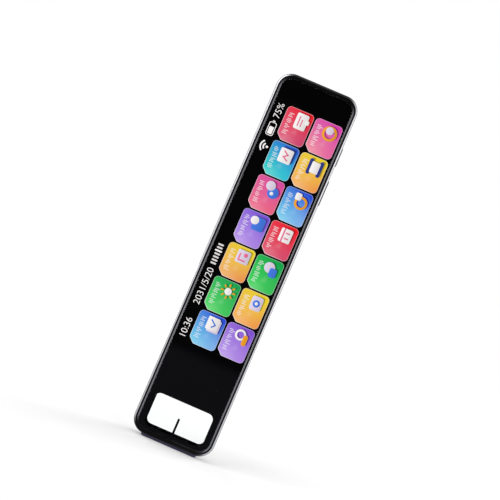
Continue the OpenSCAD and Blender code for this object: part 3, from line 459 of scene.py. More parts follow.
def spun_finish():
    """Spun black metal with painted highlights: two fans of light, opening outwards, that its
    turned grooves would scatter are painted into its colour in fixed directions, a strong pair and
    a weak one. Each is the cosine of the angle from its direction, to a power."""
    f = Finish("spun_black", metallic=1.0)
    x, y, z = f.axes()
    low, high = box_mm("lens_ring")
    dx, dz = x - (low.x + high.x) / 2, z - (low.z + high.z) / 2
    radius = (dx * dx + dz * dz) ** 0.5
    # painted highlights: fixed fans of light in the base colour
    strong = (abs(dx * -0.88 + dz * 0.47) / radius) ** 14
    weak = (abs(dx * 0.36 + dz * 0.93) / radius) ** 10
    painted_glints = (strong + 0.3 * weak) * (0.75 + 0.5 * f.noise(0.9, 3))
    f.put("Base Color", f.blend("1c1c1f", "c6c6ca", painted_glints.least(1)))
    return f.rough(0.22, 0.08, 0.5)


def coated_lens():
    """Violet-blue coating of a small lens, with a painted highlight that turns it near white
    towards its middle.
    """
    f = Finish("lens_coating", metallic=0.85, coat_weight=0.6, coat_roughness=0.03)
    x, y, z = f.axes()
    low, high = box_mm("lens_glass")
    away = (x ** 2 + (z - (low.z + high.z) / 2) ** 2) ** 0.5
    # painted highlight: near white at the middle
    f.put("Base Color", f.blend("e6ebfb", "5f69a6", away.step(0.45, 1.25)))
    return f.rough(0.08, 0.06, 0.4).material


def board_finish():
    """Green circuit board: traces where the product of two wavering sines is positive, and gilt
    pads at the middles of cells."""
    f = Finish("circuit_board", coat_weight=0.3, coat_roughness=0.2)
    x, y, z = f.axes()
    lanes = (x * 5.2 + 2.5 * f.noise(6.0, 1)).sine() * (z * 4.1 + 2.5 * f.noise(7.0, 1)).sine()
    traces = lanes.step(-0.1, 0.1)
    pads = 1 - f.cells(1.7, (1, 0, 1)).step(0.1, 0.14)
    green = f.blend("15452a", "2c6b45", traces)
    f.put("Base Color", f.blend(green, "c8a860", pads))
    f.rough(0.4, 0.1, 1.0)
    return f.relief(traces, 0.03)


def ribbed(name, first, second, roughness, pitch, depth=0.03, **constants):
    """Two tones in fine ribs along the length, as on ribbons, foils and coils."""
    f = Finish(name, **constants)
    x, y, z = f.axes()
    rib = (x * (2 * math.pi / pitch)).sine().step(-0.4, 0.4)
    f.put("Base Color", f.blend(first, second, rib))
    f.rough(roughness, 0.08, 2.0)
    return f.relief(rib, depth)


# how each slot of the record is finished
FINISHES = {
    "cover_glass": lambda: clear("cover_glass", "ffffff", border=2.1),
    "window_glass": lambda: clear("window_glass", "fafcfc"),
    "lens_glass": lambda: clear("camera_glass", "eef1fb", index=1.1),
    "print_black": mask_finish,
    "display": screen_finish,
    "light_unit": lambda: moulded("light_guide", "d9dde0", 0.3, grain=0.6, depth=0.01),
    "flex": lambda: ribbed("ribbon_film", "a85e1a", "c97f35", 0.35, pitch=0.5),
    "trim": trim_finish,
    "frame": frame_finish,
    "key": lambda: brushed("key_metal", shade(setting("colours").metal, 1.8), 0.22),
    "switch": lambda: moulded("switch_body", "c7c9cc", 0.35, metallic=0.6),
    "black_moulding": lambda: moulded("black_plastic", "0c0c0e", 0.7, specular_ior_level=0.0),
    "shell": shell_finish,
    "rim": lambda: moulded("rim_plastic", "131315", 0.34, grain=0.3, depth=0.006),
    "badge": plate_finish,
    "mesh": mesh_finish,
    "foam": lambda: moulded("foam", "1d1d20", 0.9, grain=0.35, depth=0.08),
    "speaker": lambda: moulded("speaker_body", "3c3c42", 0.45),
    "lens_ring": spun_finish,
    "lens_bezel": lambda: polished("bezel_black", "0c0c0f", 0.18),
    "camera": lambda: moulded("camera_body", "24262b", 0.38),
    "tip": lambda: moulded("tip_plastic", setting("colours").tip, 0.42, grain=0.25, depth=0.01,
                           coat_weight=0.1),
    "spring": lambda: ribbed("spring_wire", "a9abb0", "dadce0", 0.2, pitch=0.08, depth=0.002,
                             metallic=1.0),
    "circuit_board": board_finish,
    "can": lambda: brushed("can_metal", "b9bcc1", 0.3),
    "chip": lambda: moulded("chip_resin", "1b1c20", 0.5, grain=0.12, depth=0.01),
    "battery": lambda: ribbed("battery_foil", "384252", "434f63", 0.38, pitch=6.0),
    "tape": lambda: moulded("tape_film", "e6e4dc", 0.6, grain=0.5, depth=0.01),
    "lead": lambda: ribbed("lead_sleeve", "7c2622", "963430", 0.5, pitch=0.7),
    "mic": lambda: moulded("mic_can", "d0c69a", 0.3, metallic=0.8),
}
MADE = {}


def finish(slot):
    """The material of a slot of the record, made once."""
    if slot not in MADE:
        MADE[slot] = FINISHES[slot]().material
    return MADE[slot]


def coat(*slots):
    """Gives every CAD node of these slots its finish."""
    for part in frame["record"]["subparts"]:
        if part["material_slot"] in slots:
            node = frame["nodes"][part["node"]]
            if not node.material_slots:
                node.data.materials.append(None)
            for holder in node.material_slots:
                holder.material = finish(part["material_slot"])


# ---------- surfaces ----------

def grid_faces(rows, columns, ring_rows=False, ring_columns=False):
    """Quads between the neighbours of a grid of points that is counted row by row."""
    i = np.arange(rows if ring_rows else rows - 1)
    j = np.arange(columns if ring_columns else columns - 1)
    a, b = np.meshgrid(i, j, indexing="ij")
    c, d = (a + 1) % rows, (b + 1) % columns
    corners = [a * columns + b, a * columns + d, c * columns + d, c * columns + b]
    return np.stack(corners, -1).reshape(-1, 4)


class Form:
    """Points, faces and paint of one mesh, gathered part by part."""

    def __init__(self):
        self.points, self.faces, self.paint, self.count = [], [], [], 0

    def add(self, points, faces, paint=(1, 1, 1)):
        """Adds a part: points in millimetres, faces, and one colour or one for each point."""
        points = np.asarray(points, float).reshape(-1, 3)
        self.points.append(points)
        self.faces += [[k + self.count for k in face] for face in faces]
        self.paint.append(np.broadcast_to(np.asarray(paint, float), (len(points), 3)))
        self.count += len(points)
        return self

    def make(self, name, slot, material=None, smooth=False):
        """The finished object, in metres, riding on the housing. Its material is the slot's own
        unless another one is given."""
        mesh = bpy.data.meshes.new(name)
        points = np.concatenate(self.points) * MM
        mesh.from_pydata(points.tolist(), [], self.faces)
        tone = np.ones((len(points), 4), np.float32)
        tone[:, :3] = np.concatenate(self.paint)
        attribute = mesh.attributes.new("paint", "FLOAT_COLOR", "POINT")
        attribute.data.foreach_set("color", tone.ravel())
        mesh.polygons.foreach_set("use_smooth", np.full(len(mesh.polygons), smooth))
        if smooth:
            mesh.set_sharp_from_angle(angle=math.radians(50))
        mesh.materials.append(material or finish(slot))
        mesh.validate()
        mesh.update()
        piece = linked(name, mesh)
        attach(piece, "housing")
        return piece


def prism(outline, front, back, rings=1):
    """A flat piece from y = front to y = back: the outline, which runs anticlockwise as seen from
    the front and is seen whole from its middle, is joined to its own copy along the side and to
    its middle on both faces. The front face holds further copies, shrunk about the middle in equal
    steps, so that paint can change across it. Returns points and faces."""
    outline = np.asarray(outline, float)
    n = len(outline)
    middle = outline.mean(0)
    share = np.arange(rings, 0, -1)[:, None, None] / rings
    flat = (middle + (outline - middle) * share).reshape(-1, 2)
    sheets = [(np.vstack([flat, middle]), front), (np.vstack([outline, middle]), back)]
    points = np.vstack([np.column_stack([sheet[:, 0], np.full(len(sheet), y), sheet[:, 1]])
                        for sheet, y in sheets])
    k = np.arange(n)
    nxt = (k + 1) % n
    inner, hub, base = n * (rings - 1), n * rings, n * rings + 1
    faces = grid_faces(rings, n, ring_columns=True).tolist() if rings > 1 else []
    faces += np.column_stack([k + inner, nxt + inner, np.full(n, hub)]).tolist()
    faces += np.column_stack([nxt + base, k + base, np.full(n, base + n)]).tolist()
    faces += np.column_stack([nxt, k, k + base, nxt + base]).tolist()
    return points, faces


def band(left, right, front, back, ring=False):
    """A flat band from y = front to y = back between a left and a right edge that have the same
    number of points. Returns points and faces."""
    n = len(left)
    rows = [(left, front), (right, front), (right, back), (left, back)]
    points = np.stack([np.column_stack([e[:, 0], np.full(n, y), e[:, 1]]) for e, y in rows], 1)
    faces = grid_faces(n, 4, ring_rows=ring, ring_columns=True).tolist()
    if not ring:
        end = 4 * (n - 1)
        faces += [[3, 2, 1, 0], [end, end + 1, end + 2, end + 3]]
    return points.reshape(-1, 3), faces


def strip(path, width, front, back, ring=False):
    """A band of that width along a path: at each point its two edges stand half a width to either
    side, square to the mean of the neighbouring directions and lengthened at bends by one over
    the cosine of half the turn. Returns points and faces."""
    path = np.asarray(path, float)
    step = np.roll(path, -1, 0) - path
    if not ring:
        step[-1] = step[-2]
    step /= np.linalg.norm(step, axis=1)[:, None]
    before = np.roll(step, 1, 0)
    if not ring:
        before[0] = step[0]
    mean = step + before
    mean /= np.linalg.norm(mean, axis=1)[:, None]
    stretch = 1 / np.clip((mean * step).sum(1), 0.4, 1)
    across = np.column_stack([-mean[:, 1], mean[:, 0]]) * (width / 2 * stretch)[:, None]
    return band(path + across, path - across, front, back, ring)


def arc(centre, radius, start, end, count):
    """Points of a circle's arc between two angles in degrees."""
    t = np.radians(np.linspace(start, end, count))
    return np.column_stack([centre[0] + radius * np.cos(t), centre[1] + radius * np.sin(t)])


def disc(centre, radius, count=28):
    """Outline of a disc."""
    return arc(centre, radius, 0, 360 * (1 - 1 / count), count)


def rounded(low, high, radius, cut=0.0, count=6):
    """Outline of a box from its low to its high corner with rounded corners. A cut slants its low
    left corner by that much, with a smaller rounding at both its ends, whose centres stand past
    the cut by the tangent of 22.5 degrees, 0.41, of that rounding."""
    (x0, y0), (x1, y1) = low, high
    turns = [(x1 - radius, y1 - radius, radius, 0, 90), (x0 + radius, y1 - radius, radius, 90, 180)]
    if cut:
        soft = radius * 0.6
        past = cut + soft * 0.41
        turns += [(x0 + soft, y0 + past, soft, 180, 225), (x0 + past, y0 + soft, soft, 225, 270)]
    else:
        turns.append((x0 + radius, y0 + radius, radius, 180, 270))
    turns.append((x1 - radius, y0 + radius, radius, 270, 360))
    return np.vstack([arc((x, y), size, start, end, count) for x, y, size, start, end in turns])


def lathe(profile, centre, count=72, ring=False):
    """A turned surface round an axis along Y through centre (x, z): each point of the profile, a
    radius and a Y, is carried round a full circle. The profile runs out from the axis at low Y and
    back in at high Y. A ring joins its last point to its first. Otherwise both ends lie on the
    axis and are closed by fans. Returns points and faces."""
    profile = np.asarray(profile, float)
    body = profile if ring else profile[1:-1]
    t = np.linspace(0, 2 * np.pi, count, endpoint=False)
    points = np.stack([centre[0] + body[:, :1] * np.cos(t), np.repeat(body[:, 1:], count, 1),
                       centre[1] + body[:, :1] * np.sin(t)], -1).reshape(-1, 3)
    faces = grid_faces(len(body), count, ring_rows=ring, ring_columns=True).tolist()
    if not ring:
        k = np.arange(count)
        nxt, hub = (k + 1) % count, np.full(count, len(points))
        last = count * (len(body) - 1)
        faces += np.column_stack([nxt, k, hub]).tolist()
        faces += np.column_stack([k + last, nxt + last, hub + 1]).tolist()
        points = np.vstack([points, [(centre[0], y, centre[1]) for y in profile[[0, -1], 1]]])
    return points, [face[::-1] for face in faces]


def turned(name, slot, profile, centre, material=None, **options):
    """A smooth object turned from one profile, as lathe says."""
    return Form().add(*lathe(profile, centre, **options)).make(name, slot, material, smooth=True)


def coil(centre, radius, wire, foot, top, turns, steps=36, sides=12):
    """A round wire wound about an upright axis through centre (x, y): the wire's middle circles
    the axis at the radius and climbs from foot to top, slowly in the closed end coils and evenly
    between them, and a circle stands on it in the plane through the axis. Returns points and
    faces."""
    a = np.linspace(0, 2 * np.pi * turns, turns * steps + 1)
    share = np.interp(a / a[-1], [0, 0.15, 0.85, 1], [0, 0.05, 0.95, 1])
    level = foot + wire + (top - foot - 2 * wire) * share
    b = np.linspace(0, 2 * np.pi, sides, endpoint=False)
    out = radius + wire * np.cos(b)
    points = np.stack([centre[0] + out * np.cos(a)[:, None], centre[1] + out * np.sin(a)[:, None],
                       level[:, None] + wire * np.sin(b)], -1).reshape(-1, 3)
    faces = [face[::-1] for face in grid_faces(len(a), sides, ring_columns=True).tolist()]
    faces += [list(range(sides)), list(range(len(points) - 1, len(points) - sides - 1, -1))]
    return points, faces


# ---------- screen artwork ----------

# the first, second and third tone of each kind of tile
TILE_TONES = {
    "coral": ("e81f2b", "e4587c", "c43468"), "magenta": ("d83fae", "f2849c", "e65a9e"),
    "teal": ("2f62d6", "20d4cc", "1cbfd6"), "amber": ("ecd22c", "f7b254", "f08a3c"),
    "pink": ("d84c9f", "f0688c", "ea5a7c"), "sky": ("2c4cd6", "6fccf0", "86b0ee"),
    "violet": ("7a52d4", "b892ee", "a67ae0"), "red": ("ee1a26", "e2506e", "d03c66"),
    "sun": ("ecd22c", "f3ad56", "ea8444"), "leaf": ("16a44c", "2fd756", "2cba50"),
    "mint": ("1ea254", "46da60", "2ebe50"), "lilac": ("8250d2", "bb96ee", "aa7ce2"),
}
TILE_ROWS = [("coral", "magenta"), ("teal", "amber"), ("pink", "sky"), ("violet", "red"),
             ("sun", "leaf"), ("mint", "amber"), ("sky", "lilac")]
TILE_COLUMNS = [(-9.5, 2.15), (3.0, 14.75)]
TILE_TOP, TILE_PITCH, TILE_WIDTH, TILE_HEIGHT = 147.4, 15.04, 11.75, 14.3
WHITE, PALE, GOLD, BLUE, ROSE, NAVY = (linear(text) for text in (
    "fffbfa", "e8dcf0", "f6a92c", "4a7fe8", "f2789c", "33408c"))
THIN = 0.02  # thickness of every lit piece, in millimetres
ICON_SCALE = 1.25
STATUS_X = -12.4  # middle of the status column, and the foot of each of its marks
TIME_Z, DATE_Z, SIGNAL_Z, BATTERY_Z, CHARGE_Z = 44.2, 58.2, 128.2, 133.0, 140.6


def ui_point(centre, points):
    """Turns points drawn upright, right and up, to the screen's way round: up points to the left
    of the body and right points to its top end."""
    points = np.asarray(points, float)
    return np.column_stack([centre[0] - points[:, 1], centre[1] + points[:, 0]])


def pill(low, high, radius, front):
    """A thin rounded box of the screen. Returns points and faces."""
    return prism(rounded(low, high, radius), front, front + THIN)


# A part of an icon is its outline or path, the width of a line along it or 0 where it is filled,
# whether that line is closed, and its colour.

def box(x0, y0, x1, y1, radius, tone):
    """Icon part: a filled box with rounded corners."""
    return rounded((x0, y0), (x1, y1), radius), 0, False, tone


def spot(x, y, radius, tone):
    """Icon part: a filled disc."""
    return disc((x, y), radius), 0, False, tone


def hoop(x, y, radius, width, tone):
    """Icon part: a ring."""
    return disc((x, y), radius), width, True, tone


def line(width, tone, *points):
    """Icon part: a line through the points."""
    return np.array(points), width, False, tone


def icon_parts():
    """Generic motifs, drawn upright in a square of about 6 mm, one for each tile. Each is a list
    of parts from the back to the front."""
    turns = np.radians(np.arange(0, 360, 45))
    rays = [line(0.5, GOLD, *np.outer((1.5, 2.5), (math.cos(a), math.sin(a)))) for a in turns]
    return [
        [box(-2.7, -2.0, 2.7, 2.0, 0.6, WHITE), line(0.4, ROSE, (-1.7, 0.8), (1.7, 0.8)),
         line(0.4, ROSE, (-1.7, -0.2), (0.8, -0.2)), box(-0.4, -2.6, 1.0, -1.4, 0.3, WHITE)],
        [hoop(0, 0, 2.1, 0.8, GOLD), spot(0.9, 0.2, 1.3, PALE)],
        [box(-2.2, -2.3, 2.6, 2.1, 0.5, NAVY), box(-2.6, -1.9, 2.2, 2.5, 0.5, WHITE),
         line(0.45, ROSE, (-1.6, -0.8), (-0.6, 0.9), (0.3, -0.4), (1.4, 1.3))],
        [box(-2.7, 1.1, 2.7, 2.4, 0.6, NAVY), box(-2.7, -2.4, 2.7, -1.1, 0.6, NAVY),
         box(-1.9, -1.4, 1.9, 1.4, 0.3, WHITE)],
        [spot(-0.9, -0.7, 1.9, BLUE), spot(1.1, 0.8, 1.6, PALE), spot(-1.2, -0.3, 0.6, WHITE)],
        [hoop(-0.4, -0.3, 1.8, 0.8, GOLD), box(0.2, 0.1, 2.6, 2.2, 0.5, WHITE)],
        [box(-2.3, -2.4, 2.2, 1.6, 0.6, BLUE), spot(0.8, 1.2, 1.4, WHITE)],
        [box(-2.3, -2.0, 2.3, 2.0, 0.5, WHITE), line(0.5, ROSE, (-2.3, 0.9), (2.3, 0.9)),
         line(0.45, ROSE, (-0.9, -1.2), (-0.9, 0.3)), line(0.45, ROSE, (0.9, -1.2), (0.9, 0.3))],
        [box(-2.0, -2.2, 2.4, 2.2, 0.5, PALE),
         line(0.5, ROSE, (-1.0, -1.1), (-1.0, 1.2), (1.2, 1.2)), spot(1.0, -0.7, 0.7, ROSE)],
        [spot(0.5, 0.7, 1.8, PALE), box(-2.4, -2.1, 0.7, 0.4, 0.7, BLUE)],
        [spot(0, 0, 1.2, WHITE), *rays],
        [box(-2.4, -1.9, 2.4, 1.9, 0.8, PALE), spot(0, 0, 1.2, BLUE), spot(0, 0, 0.55, WHITE)],
        [box(-2.4, -2.2, 2.0, 1.8, 0.4, PALE), box(-1.8, -1.6, 2.6, 2.4, 0.4, WHITE),
         line(0.45, BLUE, (-0.9, 0.6), (0.2, -0.5), (1.7, 1.3))],
        [hoop(0.7, 0.7, 1.5, 0.7, WHITE), box(-2.4, -2.0, 1.2, -0.4, 0.7, GOLD)],
    ]


def draw_part(form, part, centre, front, tone=None, shift=(0, 0)):
    """Adds one part of an icon to the form as a thin solid, a little darker towards its foot. A
    tone and a shift make it the part's soft shadow."""
    path, width, closed, own = part
    path = ui_point(centre, (path + np.array(shift)) * ICON_SCALE)
    if width:
        points, faces = strip(path, width * ICON_SCALE, front, front + THIN, closed)
    else:
        points, faces = prism(path, front, front + THIN)
    foot = (points[:, 0] - points[:, 0].min()) / np.ptp(points[:, 0])
    form.add(points, faces, np.array(tone or own) * (1 - 0.25 * foot[:, None]))


def tile_boxes():
    """Low and high corner and tones of every tile, from the top row to the bottom."""
    for row, names in enumerate(TILE_ROWS):
        top = TILE_TOP - row * TILE_PITCH
        for (left, right), name in zip(TILE_COLUMNS, names):
            yield (left, top - TILE_HEIGHT), (right, top), TILE_TONES[name]


def tile_paint(points, low, high, tones):
    """Colour of each point: the first tone at the upper right passes to the second towards the
    lower left, the third lies in the lower right corner. A faint light sweep crosses them, and a
    thin pale veil grows with the second tone."""
    along = (high[1] - points[:, 2]) / (high[1] - low[1])
    across = (points[:, 0] - low[0]) / (high[0] - low[0])
    first, second, third = (np.array(linear(t)) for t in tones)
    share = np.clip(0.08 + 0.9 * along - 0.35 * (across - 0.5), 0, 1)[:, None]
    corner = (np.clip(along * across * 1.3 - 0.25, 0, 1) * 0.9)[:, None]
    sweep = along + 0.7 * across - 1.05 - 0.06 * np.sin(across * 6)
    bright = 0.035 * share + 0.08 * np.exp(-(sweep / 0.1) ** 2)[:, None]
    tone = (first * (1 - share) + second * share) * (1 - corner) + third * corner
    return tone * (1 - bright) + bright


def label_bars(k, low, front):
    """The label of tile k: small blocks of bars, whose lengths and places go through a short
    cycle. Yields each bar's points and faces."""
    blocks, block_pitch, bars, bar_pitch, bar_height = 4, 2.4, 3, 0.68, 0.34
    for block in range(blocks):
        for bar in range(bars):
            x = low[0] + 1.35 + 0.15 * ((k + block + bar) % 3)
            z = low[1] + 2.9 + block_pitch * block + bar_pitch * bar
            wide = 2.25 - 0.3 * ((k + 3 * block + 2 * bar) % 4)
            yield pill((x, z), (x + wide, z + bar_height), 0.16, front)


def numerals(form, text, height, centre_x, start_z, front):
    """Plain numerals that read from the bottom to the top: the font's outline is filled, made
    thin, welded, scaled to the height and turned. Returns the Z where they end."""
    curve = bpy.data.curves.new("numerals", "FONT")
    curve.body, curve.size, curve.extrude, curve.offset = text, 1.0, 0.5, -0.008
    source = linked("numerals", curve)
    mesh = bpy.data.meshes.new_from_object(source)
    welded = bmesh.new()
    welded.from_mesh(mesh)
    bmesh.ops.remove_doubles(welded, verts=welded.verts, dist=1e-5)
    bmesh.ops.recalc_face_normals(welded, faces=welded.faces)
    welded.to_mesh(mesh)
    welded.free()
    points = np.zeros(len(mesh.vertices) * 3)
    mesh.vertices.foreach_get("co", points)
    points = points.reshape(-1, 3)
    faces = [list(face.vertices) for face in mesh.polygons]
    bpy.data.objects.remove(source)
    bpy.data.meshes.remove(mesh)
    low, high = points.min(0), points.max(0)
    scale = height / (high[1] - low[1])
    flat = (points[:, :2] - [low[0], (low[1] + high[1]) / 2]) * scale
    place = ui_point((centre_x, start_z), flat)
    level = front + THIN / 2 - points[:, 2] * THIN
    form.add(np.column_stack([place[:, 0], level, place[:, 1]]), faces, WHITE)
    return start_z + (high[0] - low[0]) * scale


# ---------- operators ----------

class TranslatorOperator(bpy.types.Operator):
    """Base of this add-on's operators."""
    bl_options = {"REGISTER", "UNDO"}


class TRANSLATOR_OT_camera(TranslatorOperator):
    """Places the camera before the screen, turned so that the object leans to the right"""
    bl_idname = "translator.camera"
    bl_label = "Camera"

    def execute(self, context):
        studio = setting("studio")
        data = bpy.data.cameras.new("camera")
        data.lens, data.sensor_width = studio.lens, 36
        data.clip_start, data.clip_end = 0.01, 20
        camera = linked("camera", data)
        # from the target: turned to the side, stood upright, rolled and drawn back
        target = Vector((-0.9, 0, 86.9)) * MM
        camera.matrix_world = (
            Matrix.Translation(target) @ Matrix.Rotation(studio.azimuth, 4, "Z")
            @ Matrix.Rotation(math.pi / 2, 4, "X") @ Matrix.Rotation(studio.roll, 4, "Z")
            @ Matrix.Translation((0, 0, studio.distance)))
        context.scene.camera = camera
        return {"FINISHED"}


class TRANSLATOR_OT_glass(TranslatorOperator):
    """Finishes the cover glass, its printed mask and the panes of the scan window"""
    bl_idname = "translator.glass"
    bl_label = "Glass"

    def execute(self, context):
        coat("cover_glass", "window_glass", "print_black", "rim")
        return {"FINISHED"}


class TRANSLATOR_OT_metalwork(TranslatorOperator):
    """Finishes the frame, the trim ring and the side keys"""
    bl_idname = "translator.metalwork"
    bl_label = "Frame, ring and keys"

    def execute(self, context):
        coat("frame", "trim", "key")
        return {"FINISHED"}


class TRANSLATOR_OT_shell(TranslatorOperator):
    """Finishes the back shell and lays the two chevrons into it"""
    bl_idname = "translator.shell"
    bl_label = "Back shell"

    def execute(self, context):
        coat("shell")
        gap = setting("sizes").chevron_gap / MM
        back = box_mm("back_shell")[1].y
        # half the width, rise at the middle, height of an arm and depth of its pocket
        half, rise, tall, deep = 6.9, 2.85, 1.05, 0.25
        slope = rise / half
        level = math.cos(math.atan(slope))
        # form, margin to the pocket's wall, and how far its two faces lie below the back
        floors = (Form(), 0.01, deep - 0.005, deep - 0.02)
        inlays = (Form(), gap, deep - 0.02, 0.012)
        for foot in (30.8, 35.7):
            for form, margin, low, high in (floors, inlays):
                x = np.array([margin - half, 0, half - margin])
                lower = foot + slope * abs(x) + margin / level
                upper = foot + tall + slope * abs(x) - margin / level
                form.add(*band(np.column_stack([x, upper]), np.column_stack([x, lower]),
                               back - low, back - high))
        floors[0].make("chevron_floors", "shell", finish("black_moulding"))
        inlays[0].make("chevron_inlays", "shell")
        return {"FINISHED"}


class TRANSLATOR_OT_tiles(TranslatorOperator):
    """Builds the lit tiles of the screen with their edges, labels and icons"""
    bl_idname = "translator.tiles"
    bl_label = "Screen tiles"

    def execute(self, context):
        sizes = setting("sizes")
        radius, cut, edge = (v / MM for v in (sizes.tile_radius, sizes.tile_cut, sizes.tile_edge))
        coat("display")
        forms = {name: Form() for name in (
            "screen_tiles", "screen_tile_edges", "screen_tile_labels", "screen_icons")}
        tiles, edges, labels, icons = forms.values()
        front = box_mm("display_panel")[0].y - THIN
        # how far before that an icon's shadow and the icon lie, and the step between its parts
        shadow_out, icon_out, part_step = 0.042, 0.05, 0.006
        for k, ((low, high, tones), parts) in enumerate(zip(tile_boxes(), icon_parts())):
            points, faces = prism(rounded(low, high, radius, cut), front - THIN, front, rings=14)
            tiles.add(points, faces, tile_paint(points, low, high, tones))
            # the edge, brightest towards the lower left corner
            inner = rounded(np.add(low, edge / 2), np.subtract(high, edge / 2), radius - edge / 2,
                            cut)
            points, faces = strip(inner, edge, front - 2 * THIN, front - THIN, ring=True)
            corner = (high[1] - points[:, 2]) * (high[0] - points[:, 0])
            glow = 0.3 + 0.5 * np.clip(corner / (TILE_WIDTH * TILE_HEIGHT) * 1.5, 0, 1)[:, None]
            edges.add(points, faces, tile_paint(points, low, high, tones) * (1 - glow) + glow)
            # the icon's shadow, then the icon, each part a little in front of the one before
            centre = (low[0] + 7.3, high[1] - 4.4)
            dark = shade(tones[0], 0.6)
            for part in parts:
                draw_part(icons, part, centre, front - shadow_out, dark, (0.35, -0.4))
            for layer, part in enumerate(parts):
                draw_part(icons, part, centre, front - icon_out - part_step * layer)
            for points, faces in label_bars(k, low, front - 2 * THIN):
                labels.add(points, faces, 0.38 * tile_paint(points, low, high, tones) + 0.58)
        light = light_finish("screen_light")
        for name, form in forms.items():
            form.make(name, "display", light)
        return {"FINISHED"}


class TRANSLATOR_OT_status(TranslatorOperator):
    """Builds the status column of the screen: numerals, week marks, signal and battery level"""
    bl_idname = "translator.status"
    bl_label = "Status column"

    def execute(self, context):
        height = setting("sizes").digit_height / MM
        front = box_mm("display_panel")[0].y - 0.05
        form = Form()
        numerals(form, "10:36", height, STATUS_X, TIME_Z, front)
        end = numerals(form, "2031/5/20", height, STATUS_X, DATE_Z, front)
        numerals(form, "75%", height, STATUS_X, CHARGE_Z, front)
        week_start, week_pitch, today = end + 2.2, 1.35, 4
        for day in range(7):
            reach, tone = (1.5, WHITE) if day == today else (1.2, shade(WHITE, 0.75))
            z = week_start + week_pitch * day
            form.add(*pill((STATUS_X - reach, z - 0.36), (STATUS_X + reach, z + 0.36), 0.3, front),
                     tone)
        # signal arcs, fanning out to the left from their foot
        foot = (STATUS_X + 1.35, SIGNAL_Z)
        form.add(*prism(disc(foot, 0.5, 16), front, front + THIN), WHITE)
        for radius in (1.5, 2.75):
            form.add(*strip(arc(foot, radius, 130, 230, 14), 0.6, front, front + THIN), WHITE)
        # battery: its outline, then its level and its cap
        outline = rounded((STATUS_X - 1.45, BATTERY_Z), (STATUS_X + 1.45, BATTERY_Z + 5.4), 0.7)
        form.add(*strip(outline, 0.3, front, front + THIN, ring=True), WHITE)
        for half, low, high, radius in ((0.95, 0.5, 3.6, 0.3), (0.55, 5.75, 6.2, 0.2)):
            form.add(*pill((STATUS_X - half, BATTERY_Z + low), (STATUS_X + half, BATTERY_Z + high),
                           radius, front), WHITE)
        form.make("screen_status", "display", light_finish("status_light"))
        return {"FINISHED"}


class TRANSLATOR_OT_camera_plate(TranslatorOperator):
    """Finishes the raised plate and the mesh behind its speaker slots"""
    bl_idname = "translator.camera_plate"
    bl_label = "Camera plate"

    def execute(self, context):
        coat("badge", "mesh", "foam", "speaker")
        return {"FINISHED"}


class TRANSLATOR_OT_rear_camera(TranslatorOperator):
    """Turns the spun camera ring and the lens stack under its glass"""
    bl_idname = "translator.rear_camera"
    bl_label = "Rear camera"

    def execute(self, context):
        sizes = setting("sizes")
        pitch, deep = sizes.groove_pitch / MM, sizes.groove_depth / MM
        coat("lens_ring", "lens_bezel", "lens_glass", "camera")
        low, high = box_mm("lens_ring")
        centre = ((low.x + high.x) / 2, (low.z + high.z) / 2)
        # radii: the ring's outside, its bore and its neck. Y: its face, its foot and its flange
        outer, inner, neck = high.x, 2.85, 4.05
        face, foot, flange = high.y, low.y, 6.28
        # the grooved face falls by dish towards the bezel, less a cosine ripple
        edge, dish = 0.15, 0.1
        width = outer - edge - inner
        radius = np.linspace(outer - edge, inner, int(width / pitch * 6))
        fall = dish * (outer - edge - radius) / width
        ripple = deep * (0.5 - 0.5 * np.cos(2 * np.pi * (outer - edge - radius) / pitch))
        profile = [(inner, foot), (neck, foot), (neck, flange), (outer, flange),
                   (outer, face - edge), *np.column_stack([radius, face - fall - ripple])]
        ring = turned("spun_ring", "lens_ring", profile, centre, count=144, ring=True)
        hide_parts("lens_ring")

        # lens barrel: a stepped black cup, closed at the bottom
        glass_low, glass_high = box_mm("lens_glass")
        rim = glass_high.x - 0.02
        floor = glass_low.y + 0.05
        steps = [(0, 0), (rim, 0), (rim, 0.52), (1.72, 0.5), (1.66, 0.36), (1.4, 0.34),
                 (1.34, 0.2), (0, 0.2)]
        turned("lens_barrel", "lens_bezel", np.add(steps, (0, floor)), centre)
        # coated lens: a parabolic cap on the barrel's floor
        t = np.linspace(1, 0, 14)
        cap = np.column_stack([1.3 * t, floor + 0.22 + 0.2 * (1 - t ** 2)])
        turned("lens_element", "lens_glass", [(0, floor + 0.21), *cap], centre, coated_lens())
        # three small marks on the lens
        marks = Form()
        for x, z in ((-0.5, 0.06), (0.36, 0.36), (0.15, -0.5)):
            outline = disc((centre[0] + x, centre[1] + z), 0.17, 16)
            marks.add(*prism(outline, floor + 0.33, floor + 0.43))
        marks.make("lens_marks", "lens_bezel")
        # clear dome over the stack, as high as the node that it replaces
        t = np.linspace(1, 0, 16)
        reach, top, crown = rim + 0.01, glass_high.y, 0.16
        under = top - crown - 0.1
        dome = [(0, under), (reach, under), *np.column_stack([reach * t, top - crown * t ** 2])]
        cover = turned("lens_dome", "lens_glass", dome, centre)
        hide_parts("lens_glass")
        return {"FINISHED"}


class TRANSLATOR_OT_scanner(TranslatorOperator):
    """Finishes the pressure tip, its springs and the scanner round the window"""
    bl_idname = "translator.scanner"
    bl_label = "Scanner and tip"

    def execute(self, context):
        coat("black_moulding", "tip", "spring")
        # two wound springs, fixed at the top. The share of their length that is kept at the tip's
        # full travel is worked out below, but nothing shortens them
        low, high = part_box("nose_springs")
        wire, radius, turns = 0.16, 0.715, 5
        form = Form()
        for side in (-1, 1):
            middle = (side * (high.x / MM - radius - wire), 0)
            form.add(*coil(middle, radius, wire, low.z / MM, high.z / MM, turns))
        springs = form.make("tip_springs", "spring", smooth=True)
        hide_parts("nose_springs")
        joints = {joint["name"]: joint for joint in frame["record"]["behaviour"]["joints"]}
        keep = 1 - joints["nose_press"]["range_m"][1] / (high.z - low.z)
        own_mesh(springs)
        return {"FINISHED"}


